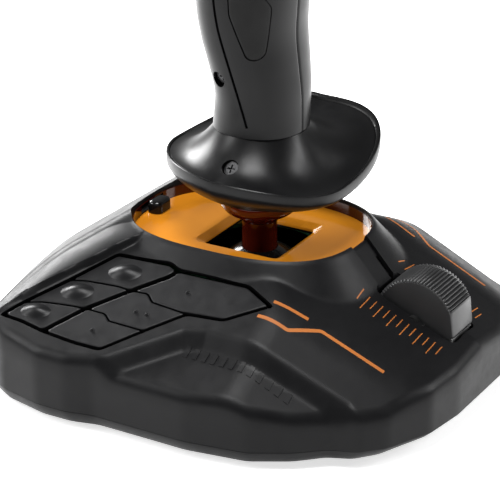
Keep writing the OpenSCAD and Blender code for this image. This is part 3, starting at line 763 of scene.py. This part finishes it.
def block_prism(side, grow, low, high):
    """A prism over the whole block of buttons."""
    outline = deck_plan(rounded(inset(anticlockwise(BLOCK), [-grow]), 2.0, 6))
    return deck_part(prism(outline, low, high), side)


def shade_tray(side):
    """A near-black sheet under the buttons: painted shade, seen in the gaps between them."""
    name = f"{side_name(side)}_shade_tray"
    add_piece(name, *block_prism(side, 0.6, -4.85, -4.6), "black_deep", "base", slot="black_plain")


def channel_floor(_, y):
    """Height of the floor of the channel between the throttle slot and the ring."""
    return height_above(-CHANNEL_DEPTH)(0, y)


WHEEL_Y, WHEEL_Z, WHEEL_R = -72.3, 36.4, 16.8


def shell_cutters():
    """Everything taken out of the upper shell."""
    bays = [block_prism(side, 0.75, -6, 8) for side in (-1, 1)]
    slot = rounded(SLOT, 3.2, 8)
    line = np.column_stack([np.zeros(40), np.linspace(-57, -41.5, 40)])
    channel = strip(line, CHANNEL_HALF, channel_floor, lambda x, y: 75.0)
    groove_line = np.column_stack([np.full(30, CHANNEL_HALF - GROOVE_HALF), np.linspace(-57, -48.6, 30)])
    groove = strip(groove_line, GROOVE_HALF, lambda x, y: channel_floor(x, y) - 6, lambda x, y: 74.0)
    opening = rounded([(-8, 45.5), (8, 45.5), (8, 54.5), (-8, 54.5)], 1.0)
    selector = prism(opening, PLATE_Z + 0.6, PLATE_Z + 3.6)
    gland = turned(rod(4.3, -8, 6, 32), (0, HALF_D, 16), about_x(-90))
    return join(*bays, prism(slot, 20, 75)), join(channel, selector, gland), groove


SLOT = [(-9.7, -89.6), (9.7, -89.6), (9.7, -55.6), (-9.7, -55.6)]
LINING = [(-10.6, -91.2), (10.6, -91.2), (10.6, -53.9), (-10.6, -53.9)]


def slot_lining():
    """The wall around the throttle wheel below the deck."""
    inner = resample(rounded(LINING, 3.2, 8), 0.8)
    outer = inset(inner, [-1.0])
    low, high = height_above(-24), height_above(-CHANNEL_DEPTH - 0.6)
    edges = ((inner, low), (inner, high), (outer, high), (outer, low))
    rings = [[(*p, height(*p)) for p in line] for line, height in edges]
    # The lining's near-black material is painted shade on the wall inside the slot.
    add_piece("slot_lining", *hoop(rings), "black_deep", "base", slot="black_plain")


def towards_centre(outline):
    """Unit vectors from the points of the base's outline to its middle."""
    inward = CENTRE - outline
    return inward / np.linalg.norm(inward, axis=1)[:, None]


def lower_shell():
    """The tray under the seam, drawn in further at the front, with the wells of its screws."""
    outline = outline_curve()
    inward = towards_centre(outline)
    front = smooth_step((-outline[:, 1] - 55) / 40)[:, None]
    rings = []
    for z, side, extra in (
        (FOOT_H, 6, 3), (FOOT_H, 4.4, 3.4), (FOOT_H + 0.5, 3.2, 3.2), (FOOT_H + 2.6, 1.5, 2.0),
        (SEAM_Z - 1.2, 0.5, 0.7), (SEAM_Z - 0.35, 0.35, 0.4), (SEAM_Z - 0.35, 4, 0),
    ):
        ring = outline + inward * (side + extra * front)
        rings.append(level(ring, z))
    shell = add_piece("base_lower_shell", *loft(rings), "black_grain", "base", ["lower_shell"])
    well = [(0.01, 0), (3.2, 0), (2.8, 2.9), (2.8, 4.6), (0.01, 4.6)]
    wells = [lathe(well, 32, (side * x, y)) for x, y in BASE_SCREWS for side in (-1, 1)]
    cut(shell, join(*wells))
    shade(shell, 30)


def seam_line():
    """The dark joint between the two shells."""
    outline = outline_curve()
    inward = towards_centre(outline)
    low, high = SEAM_Z - 0.6, SEAM_Z + 0.4
    outer, inner = outline + inward * 0.9, outline + inward * 3
    sections = [
        np.array([(*a, low), (*b, low), (*b, high), (*a, high)]) for a, b in zip(outer, inner)
    ]
    add_piece("base_seam", *hoop(sections, True), "black_deep", "base", slot="black_plain")


def square(half, radius, steps=10):
    """A square with rounded corners."""
    corners = [(half, -half), (half, half), (-half, half), (-half, -half)]
    return rounded(corners, radius, steps)


def light_plate():
    """The amber plate, with a bevelled edge around the hole of the neck."""
    count = 240
    angles = (np.arange(count) + 0.5) * TAU / count
    direction = np.stack([np.cos(angles), np.sin(angles)], 1)
    half = HOLE_W / 2
    inner = reach(resample(square(half, 3.2), 0.4), angles, np.zeros(2))
    bevel = reach(resample(square(half + 2.9, 4.2), 0.4), angles, np.zeros(2))
    outer = reach(oval(0.9), angles, np.zeros(2))
    profile = [
        (inner, -2.6), (inner, -1.9), (inner + 0.15, -1.7), (bevel - 0.2, -0.12), (bevel + 0.1, 0),
    ]
    profile += [(bevel + (outer - bevel) * q, 0) for q in (0.1, 0.3, 0.6, 0.9, 1.0)]
    profile.append((outer, -2.6))

    def around(points, flip=False):
        rings = [level(direction * r[:, None], PLATE_Z + z) for r, z in points]
        return hoop(rings, flip)

    add_piece(
        "light_plate_bevelled", *around(profile, True), "amber_clear", "base", ["light_plate"], smooth=25,
    )
    lip = [(inner - 0.1, -3.4), (inner + 1.4, -3.4), (inner + 1.4, -2.65), (inner - 0.1, -2.65)]
    add_piece("hole_lip", *around(lip), "black_gloss", "base", slot="black_plain")


def ring_lining():
    """The dark red band on the inner wall of the ring."""
    lines = [(-0.25, PLATE_Z + 0.02), (-0.25, RING_Z - 1.5), (0.3, RING_Z - 1.5), (0.3, PLATE_Z + 0.02)]
    rings = [level(oval(grow, 240), z) for grow, z in lines]
    band = add_piece("ring_lining", *hoop(rings), "amber_dark", "base", slot="amber_dark")
    line = np.column_stack([np.zeros(12), np.linspace(-56, -41.5, 12)])
    channel = strip(line, CHANNEL_HALF + 0.05, lambda x, y: channel_floor(x, y) - 0.1, lambda x, y: 75.0)
    selector = prism([(-8.2, 45), (8.2, 45), (8.2, 54.5), (-8.2, 54.5)], PLATE_Z - 0.5, PLATE_Z + 4)
    cut(band, join(channel, selector))
    shade(band, 30)


def selector():
    """The sliding selector on the plate's rear edge, a low tab with a rounded front."""
    half, front, rear = 5, 43, 49.35
    rings = []
    for inward, z in ((0, 54.3), (0, 57.6), (0.15, 58.2), (0.5, 58.7), (1.2, 59.05), (2.2, 59.2), (3, 59.2)):
        x, near, far = half - inward, front + inward, rear - inward
        outline = rounded([(-x, near), (x, near), (x, far), (-x, far)], 2.8, 10)
        rings.append(level(outline, z))
    slider = ["selector_slider"]
    add_piece("selector_tab", *loft(rings), "black_gloss", "selector", slider, "black_satin", 40)


LONG_LINE = [(53.9, -29.6), (53.6, -42.2), (45.4, -51.9), (44.1, -77.5)]
SHORT_LINE = [(46.2, -32.2), (44.4, -45.9)]


def height_above(lift):
    """A function that gives the height lift above the deck at a point."""
    return lambda x, y: deck_height(np.array([float(x)]), np.array([float(y)]))[0] + lift


def orange_lines():
    """The printed lines beside the buttons."""
    for side, label in SIDES:
        for name, line in (("long", LONG_LINE), ("short", SHORT_LINE)):
            points = resample(rounded([(side * x, y) for x, y in line], 0.8, 4, False), 0.8, False)
            vertices, faces = strip(points, 0.68, height_above(-0.3), height_above(0.07))
            add_piece(f"{label}_{name}_line", vertices, faces, "orange_print", "base", slot="amber_clear")


def throttle_ticks():
    """The printed scale on both sides of the throttle wheel."""
    first_y, pitch, inner, lengths = -53.6, 2.78, 14.6, (5.6, 8.4)
    for side, label in SIDES:
        ticks = []
        for i in range(13):
            y = first_y - i * pitch
            outer = inner + lengths[i % 2]
            line = np.column_stack([np.linspace(side * inner, side * outer, 5), np.full(5, y)])
            ticks.append(strip(line, 0.17, height_above(-0.2), height_above(0.05)))
        add_piece(f"{label}_throttle_scale", *join(*ticks), "orange_print", "base", slot="amber_clear")


def recess_ribs():
    """A plain row of small raised ribs in each side recess."""
    first_y, pitch, inner, outer = -9.5, 3.9, 69.6, 73.6
    for side, label in SIDES:
        ribs = []
        for i in range(12):
            y = first_y - i * pitch
            line = np.column_stack([np.linspace(side * inner, side * outer, 6), np.full(6, y)])
            ribs.append(strip(line, 0.95, height_above(-0.4), height_above(0.32)))
        add_piece(f"{label}_recess_ribs", *join(*ribs), "black_grain", "base", slot="black_grain", smooth=20)


def throttle_wheel():
    """A wheel with fine cross ribs, a flat towards the user and rounded edges."""
    ribs, per_rib, groove_depth = 72, 8, 0.95
    # t is measured from straight ahead of the user upwards
    t = np.arange(ribs * per_rib) * TAU / (ribs * per_rib)
    wave = 0.5 - 0.5 * np.cos(t * ribs)
    grooved = WHEEL_R - groove_depth * (1 - wave ** 0.8)
    flat_at, flat_half_angle, flat_depth = math.radians(6), 0.34, 16.0
    off = np.angle(np.exp(1j * (t - flat_at)))
    in_flat = np.abs(off) < flat_half_angle
    r = np.where(in_flat, np.minimum(WHEEL_R - 0.1, flat_depth / np.cos(off)), grooved)

    def section(x, radius):
        return np.stack([np.full(len(t), x), WHEEL_Y - radius * np.cos(t), WHEEL_Z + radius * np.sin(t)], 1)

    # distance from the middle plane and how far the rim has rounded off there
    edge = ((7.9, 0.0), (8.35, 0.18), (8.62, 0.45), (8.75, 0.75), (8.75, 1.5))
    half = [section(8.55, WHEEL_R - 3.6)]
    for x, drop in edge[::-1]:
        rounded_off = drop > 0.3
        half.append(section(x, np.minimum(r, WHEEL_R - 0.35) - drop * 0.6 if rounded_off else r - drop))
    flip_x = np.array([-1, 1, 1])
    vertices, faces = loft([ring * flip_x for ring in half] + half[::-1])
    replaced = ["throttle_wheel", "throttle_axle"]
    add_piece("ribbed_wheel", vertices, flipped(faces), "wheel_grey", "throttle", replaced, "black_grain", 50)


def neck():
    """The neck, its flared cup and the dust dome under it."""
    profile = [
        (0.01, 33.5), (6.3, 33.5), (6.9, 34.1), (6.9, 59.6), (7.1, 60.4), (7.1, 68), (5.6, 70), (5.6, 109.6),
        (5.2, 110), (0.01, 110),
    ]
    add_piece("neck_turned", *lathe(profile, 96), "amber_dark", "stick", ["neck_shaft"], smooth=40)
    turn = np.radians(np.arange(0, 91, 6))
    flare = [(8.5 + 7.5 * math.sin(a), 69.6 - 6.6 * math.cos(a)) for a in turn]
    cup = [(7.0, 60.2), (7.3, 60.4), (7.9, 61.4)] + flare + [(16.0, 69.8), (7.0, 69.8)]
    add_piece("cup_turned", *spun(cup), "amber_dark", "stick", ["neck_cup"], smooth=35)
    turn = np.radians(np.linspace(19.2, 52, 16))
    outer = [(DOME_R * math.sin(a), PIVOT_Z + DOME_R * math.cos(a)) for a in turn]
    bore = DOME_R - 1.2
    inner = [(bore * math.sin(a), PIVOT_Z + bore * math.cos(a)) for a in turn[::-1]]
    dome = spun(outer + inner, flip=True)
    add_piece("dome_turned", *dome, "black_gloss", "stick", ["dust_dome"], "black_soft", 35)


# ---- hand rest and grip ----

REST_RIGHT, REST_LEFT, REST_FRONT, REST_REAR = 50.5, 37.0, 37.8, 38.5
COLLAR_Z, CUP_TOP, BUSH_R = 100.0, 70.0, 9.05
SCREW_BORE = 3.2
REST_SCREW = (-24, -2, 89)
GRIP_SCREWS = ((6, 123.3), (-9, 174))


def rest_rim(t):
    """The rim: further out to the right, squarest at its front right quarter."""
    c, s = np.cos(t), np.sin(t)
    a = np.where(c > 0, REST_RIGHT, REST_LEFT)
    b = np.where(s > 0, REST_REAR, REST_FRONT)
    e = np.where(c > 0, np.where(s > 0, 1.9, 3.5), np.where(s > 0, 1.7, 2.4))
    x, y = power_oval(t, a, b, e)
    z = 79 + 6 * np.maximum(0, y) / REST_REAR
    z = z + np.where(x > 0, 15 * (x / REST_RIGHT) ** 2, 7 * (x / REST_LEFT) ** 2)
    return x, y, z


def rest_ring(t, q, hub, z_hub, lift, power, dip):
    """A ring between the hub (q = 0) and the rim (q = 1)."""
    x, y, z = rest_rim(t)
    z = z + lift
    hx, hy = hub * np.cos(t), hub * np.sin(t)
    return np.stack([
        hx + (x - hx) * q, hy - 0.7 * (1 - q) + (y - hy) * q,
        z + (z_hub - z) * (1 - q) ** power - dip * math.sin(math.pi * q),
    ], 1)


def hand_rest():
    """The saddle: its underside from the cup to the rim, the rim's bead and the dished top."""
    count = 216
    t = (np.arange(count) + 0.5) * TAU / count
    cup_z = CUP_TOP + 0.2
    under = -0.6 - 0.9 * (1 + np.cos(t))
    dip = 5.0 * np.maximum(0, np.cos(t)) ** 2
    rings = [circle(t, BUSH_R, cup_z)]
    for q in np.linspace(0, 0.985, 20):
        rings.append(rest_ring(t, q, 15.5, cup_z, under, 0.55, 0))
    rings.append(rest_ring(t, 0.997, 15.5, cup_z, under + 0.4, 0.55, 0))
    bead = ((1.0, 0.5), (1.0, 1.4), (0.994, 2.0), (0.978, 2.25), (0.955, 2.2), (0.935, 2.0), (0.925, 1.5))
    for q, lift in bead:
        rings.append(rest_ring(t, q, 18.2, COLLAR_Z, lift, 2.2, dip))
    for q in np.linspace(0.91, 0, 40):
        rings.append(rest_ring(t, q, 18.2, COLLAR_Z, 1.75 + 0.45 * (1 - q), 2.2, dip))
    rings.append(circle(t, BUSH_R, COLLAR_Z, (0, -0.3)))
    rest = add_piece("hand_rest_smooth", *hoop(rings), "black_satin", "grip", ["hand_rest"], smooth=50)
    bore = rod(SCREW_BORE + 0.1, 0, 24, 48)
    cut(rest, turned(bore, REST_SCREW, about_left(50)))
    shade(rest, 35)


def about_left(degrees=90):
    """Turns +Z towards -X."""
    c, s = math.cos(math.radians(degrees)), math.sin(math.radians(degrees))
    return np.array([[c, 0, -s], [0, 1, 0], [s, 0, c]])


# Height, middle, half width and half depth of the grip's and the head's cross-sections
GRIP_STATIONS = np.array([
    (100, -0.7, 18.4, 18.2), (107, -1.1, 19.4, 17.6), (115, -1.5, 21, 16.9), (126, 0, 23, 17.2),
    (138, 2.2, 24.4, 18.2), (152, 3, 25, 19.6), (168, 1.6, 24, 19.2), (184, -1, 22, 18.4),
    (196, -2.5, 21, 18.2), (206, -3, 21, 18.4),
])
HEAD_STATIONS = np.array([
    (206, -3, 21, 18.4), (212, -2.6, 22.4, 20.4), (220, -1, 23.4, 22.4), (229, 1.4, 22.6, 22.6),
    (236, 3.4, 19.4, 19.6), (240, 4.4, 14, 14.4),
])
GRIP_E = 2.2
OUTSIDE_GRIP = 32.0


def smooth_stations(stations, z):
    """Centre, half width and half depth at heights z, by a cubic through the stations."""
    zs = stations[:, 0]
    slopes = np.gradient(stations[:, 1:], zs, axis=0)
    k = np.clip(np.searchsorted(zs, z, side="right") - 1, 0, len(zs) - 2)
    h = zs[k + 1] - zs[k]
    u = ((z - zs[k]) / h)[:, None]
    h = h[:, None]
    a, b = stations[k, 1:], stations[k + 1, 1:]
    return (
        a * (1 + 2 * u) * (1 - u) ** 2 + slopes[k] * h * u * (1 - u) ** 2
        + b * u * u * (3 - 2 * u) - slopes[k + 1] * h * u * u * (1 - u)
    )


def grip_surface(y, z, inward=0.0):
    """Half width of the grip at a point of its side view."""
    centre, a, b = smooth_stations(GRIP_STATIONS, np.atleast_1d(np.asarray(z, float))).T
    q = np.clip(np.abs((np.asarray(y) - centre) / b), 0, 0.999)
    return (a - inward) * (1 - q ** GRIP_E) ** (1 / GRIP_E)


def side_cutter(outline, depth, side):
    """A prism along X over a (y, z) outline, down to a depth below the grip's surface."""
    outline = np.asarray(outline, float)
    inner = grip_surface(outline[:, 0], outline[:, 1]) - depth
    a = np.column_stack([inner, outline])
    b = np.column_stack([np.full(len(outline), OUTSIDE_GRIP), outline])
    a[:, 0] *= side
    b[:, 0] *= side
    return outward(loft([a, b]))


PANEL = [(-8.9, 136.0, 2.9), (-6.9, 152, 6.3), (-4.5, 163, 4.5)]


def panel_outline(grow):
    """The tear-drop: the convex hull of three circles, from its lowest y on."""
    points = []
    for y, z, r in PANEL:
        for a in np.linspace(0, TAU, 48, endpoint=False):
            points.append((y + (r + grow) * math.cos(a), z + (r + grow) * math.sin(a)))
    hull = [points[i] for i in convex_hull_2d(points)]
    start = hull.index(min(hull))
    return resample(hull[start:] + hull[:start], 0.8)


def side_panel(side):
    """The soft tear-drop panel let into one side of the grip."""
    outline = panel_outline(0)
    centre = outline.mean(axis=0)
    rings = []
    steps = [(1.0, 1.5), (1.0, 0.35), (0.975, 0.12), (0.93, 0.02)] + [(q, 0.0) for q in (0.8, 0.6, 0.35, 0.1)]
    for scale, depth in steps:
        at = centre + (outline - centre) * scale
        x = grip_surface(at[:, 0], at[:, 1]) - depth
        rings.append(np.column_stack([side * x, at]))
    vertices, faces = loft(rings)
    return vertices, faces if side > 0 else flipped(faces)


SHUT_LINE = [
    (6.5, 160), (5.4, 151.5), (3.9, 143.4), (1.4, 134.6), (-0.9, 125.7), (-3.2, 115.1), (-4.9, 104.8),
]


def shut_line_cutter(side):
    """The groove that runs down the side of the grip."""
    line = resample(rounded(SHUT_LINE, 6, 8, False), 1.6, False)

    def floor(y, z):
        return side * (grip_surface(y, z)[0] - 1.3)

    vertices, faces = strip(line, 0.55, floor, lambda y, z: side * OUTSIDE_GRIP)
    return outward((vertices[:, [2, 0, 1]], faces))


def grip_half(side):
    """One half of the grip's skin, closed along the middle."""
    heights = np.concatenate([[100, 100.35], np.linspace(101.2, 205.2, 66), [205.7, 206]])
    table = smooth_stations(GRIP_STATIONS, heights)
    t = np.concatenate([[-90, -89.4, -88.6, -87.2], np.linspace(-84, 84, 64), [87.2, 88.6, 89.4, 90]])
    t = np.radians(t)
    groove = 0.35 * np.maximum(0, 1 - (90 - np.abs(np.degrees(t))) / 1.6)
    outer, inner = [], []
    for z, (centre, a, b) in zip(heights, table):
        edge = 0.35 if z in (100, 206) else 0.0
        x, y = power_oval(t, a - edge, b - edge, GRIP_E)
        y = y * (1 - groove / b)
        outer.append(np.stack([np.maximum(x, 0.08), centre + y, np.full(len(t), z)], 1))
        x, y = power_oval(t, a - 2.4, b - 2.4, GRIP_E)
        inner.append(np.stack([np.maximum(x, 0.08), centre + y, np.full(len(t), z)], 1))
    rings = [np.concatenate([o, i[::-1]]) for o, i in zip(outer, inner)]
    points = len(rings[0])
    vertices = np.concatenate(rings)
    faces = ring_faces(len(rings), points)
    half = points // 2
    for base, flip in ((0, True), ((len(rings) - 1) * points, False)):
        for i in range(half - 1):
            quad = (base + i, base + i + 1, base + points - 2 - i, base + points - 1 - i)
            faces.append(quad[::-1] if flip else quad)
    vertices = vertices * np.array([side, 1, 1])
    if side < 0:
        faces = flipped(faces)
    label = side_name(side)
    shell = add_piece(
        f"{label}_grip_smooth", vertices, faces, "black_satin", "grip", [f"{label}_grip_shell"], smooth=40,
    )
    cutters = [side_cutter(panel_outline(0.3), 1.5, side), shut_line_cutter(side)]
    opening = rounded([(-7.7, 8), (7.7, 8), (7.7, 38), (-7.7, 38)], 1.2, 4)
    cutters.append(prism(opening, 172, 201.5))
    if side < 0:
        bore = rod(SCREW_BORE, 0, 20, 40)
        for y, z in GRIP_SCREWS:
            cutters.append(turned(bore, (-11, y, z), about_left()))
    cut(shell, join(*cutters))
    shade(shell, 32)


FACE_Y, FACE_Z, FACE_TILT = -4, 230, 32


def face_height(y):
    """Height of the head's slanted face."""
    return FACE_Z + (y - FACE_Y) * math.tan(math.radians(FACE_TILT))


def on_face(part):
    """Puts a part made flat onto the slanted face."""
    return turned(part, (0, FACE_Y, FACE_Z), about_x(FACE_TILT))


THUMB = (("left", -13, 3, 4.2), ("middle", 0, -13.5, 4.6), ("right", 13, 3, 4.2))


def head_cap():
    """The head, cut off along its slanted face, with the wells of its controls."""
    count = 180
    t = (np.arange(count) + 0.5) * TAU / count
    heights = np.concatenate([[206.05, 206.5], np.linspace(207.5, 240, 40)])
    rings = []
    for z, (centre, a, b) in zip(heights, smooth_stations(HEAD_STATIONS, heights)):
        inset_by = 0.35 if z < 206.2 else 0.0
        x, y = power_oval(t, a - inset_by, b - inset_by, GRIP_E)
        rings.append(np.stack([x, centre + y, np.full(count, z)], 1))
    top = rings[-1]
    middle = top.mean(axis=0)
    for q in np.linspace(0.95, 0.04, 22):
        rings.append(middle + (top - middle) * q)
    for ring in rings:
        ring[:, 2] = smooth_min(ring[:, 2], face_height(ring[:, 1]) - 0.02, 2.6)
        ring[:, 2] = np.maximum(ring[:, 2], 206.05)
    vertices, faces = loft(rings)
    cap = add_piece("head_smooth", vertices, faces, "black_satin", "grip", ["head_cap"], smooth=40)
    wells = [on_face(lathe([(0.01, -8), (8.0, -8), (8.0, -0.6), (8.6, 4), (0.01, 4)], 64))]
    for _, x, y, r in THUMB:
        wells.append(on_face(rod(r + 0.35, -7, 4, 48, (x, y))))
    cut(cap, join(*wells))
    shade(cap, 32)


def face_controls():
    """The thumb buttons and the hat on the slanted face."""
    for label, x, y, r in THUMB:
        profile = [(0.01, -5), (r, -5), (r, 0.6), (r - 0.15, 1.1), (r - 0.6, 1.5), (r - 1.6, 1.75)]
        body = lathe(profile + [(0.01, 1.9)], 64, (x, y))
        name = f"thumb_button_{label}"
        add_piece(name + "_cap", *on_face(body), "black_gloss", f"thumb_{label}", [name], "black_satin", 40)
    profile = [
        (0.01, 1.4), (5.3, 1.4), (5.6, 1.7), (5.6, 2.7), (5.2, 3.0), (3.6, 3.1), (3.5, 4.6), (4.3, 6.6),
        (4.6, 7.2), (4.5, 7.7), (4.0, 8.1), (3.2, 8.2), (2.2, 7.9), (0.01, 7.75),
    ]
    cap = lathe(profile, 96)
    vertices = np.array(cap[0])
    a = np.arctan2(vertices[:, 1], vertices[:, 0])
    grooved = (vertices[:, 2] > 4) & (vertices[:, 2] < 8) & (np.hypot(vertices[:, 0], vertices[:, 1]) > 3.4)
    shrink = np.where(grooved, 1 - 0.05 * (0.5 + 0.5 * np.cos(16 * a)), 1)
    vertices[:, :2] *= shrink[:, None]
    add_piece("hat_top", *on_face((vertices, cap[1])), "black_soft", "hat", ["hat_switch"], "black_satin", 40)


def trigger():
    """A curved finger trigger with rounded edges."""
    outline = rounded([
        (4.2, 197.2), (5.6, 200.0), (9.5, 200.6), (18.5, 200.4), (22.4, 196.0), (21.2, 189), (21.0, 183.5),
        (22.6, 176.6), (19.5, 174.6), (13.6, 174.2), (12.0, 176.4), (8.6, 187), (4.6, 194.2),
    ], 3.0, 6)
    outline = anticlockwise(resample(outline, 0.7))
    middle = outline.mean(axis=0)
    rings = []
    edge = [(5.6, 0), (6.3, 0.15), (6.8, 0.45), (7, 0.9)]
    for x, shrink in [(-x, shrink) for x, shrink in edge[::-1]] + edge:
        off = outline - middle
        at = middle + off * (1 - shrink / np.linalg.norm(off, axis=1))[:, None]
        rings.append(np.column_stack([np.full(len(at), x), at]))
    add_piece("trigger_curved", *loft(rings), "black_satin", "trigger", ["trigger"], smooth=40)


def side_panels():
    """Both soft panels as one piece."""
    pair = join(side_panel(-1), side_panel(1))
    add_piece("soft_panels", *pair, "black_soft", "grip", ["side_panels"], smooth=40)


add_camera()
bpy.context.scene.view_settings.view_transform = "Standard"
add_world(0.2)
add_stage()
add_area_light("top_box", (-0.28, -0.02, 1.4), (0, 0, 0.05), (0.6, 0.6), 26)
add_area_light("rear_box", (0.5, 1.2, 0.66), (0, 0, 0.08), (0.7, 0.45), 30)
add_area_light("left_box", (-0.75, 1.1, 0.8), (0, 0, 0.08), (0.4, 0.8), 14)
add_area_light("right_box", (0.7, -1.1, 0.8), (0, 0, 0.08), (0.4, 0.7), 12)
dress_nodes()

shell = upper_shell()
for taken_out in shell_cutters():
    cut(shell, taken_out)
shade(shell, 30)
slot_lining()
lower_shell()
seam_line()
for side in (-1, 1):
    shade_tray(side)
    for index in range(6):
        base_button(side, index)
light_plate()
ring_lining()
selector()
orange_lines()
throttle_ticks()
recess_ribs()
throttle_wheel()
neck()
hand_rest()
for side in (-1, 1):
    grip_half(side)
side_panels()
head_cap()
face_controls()
trigger()
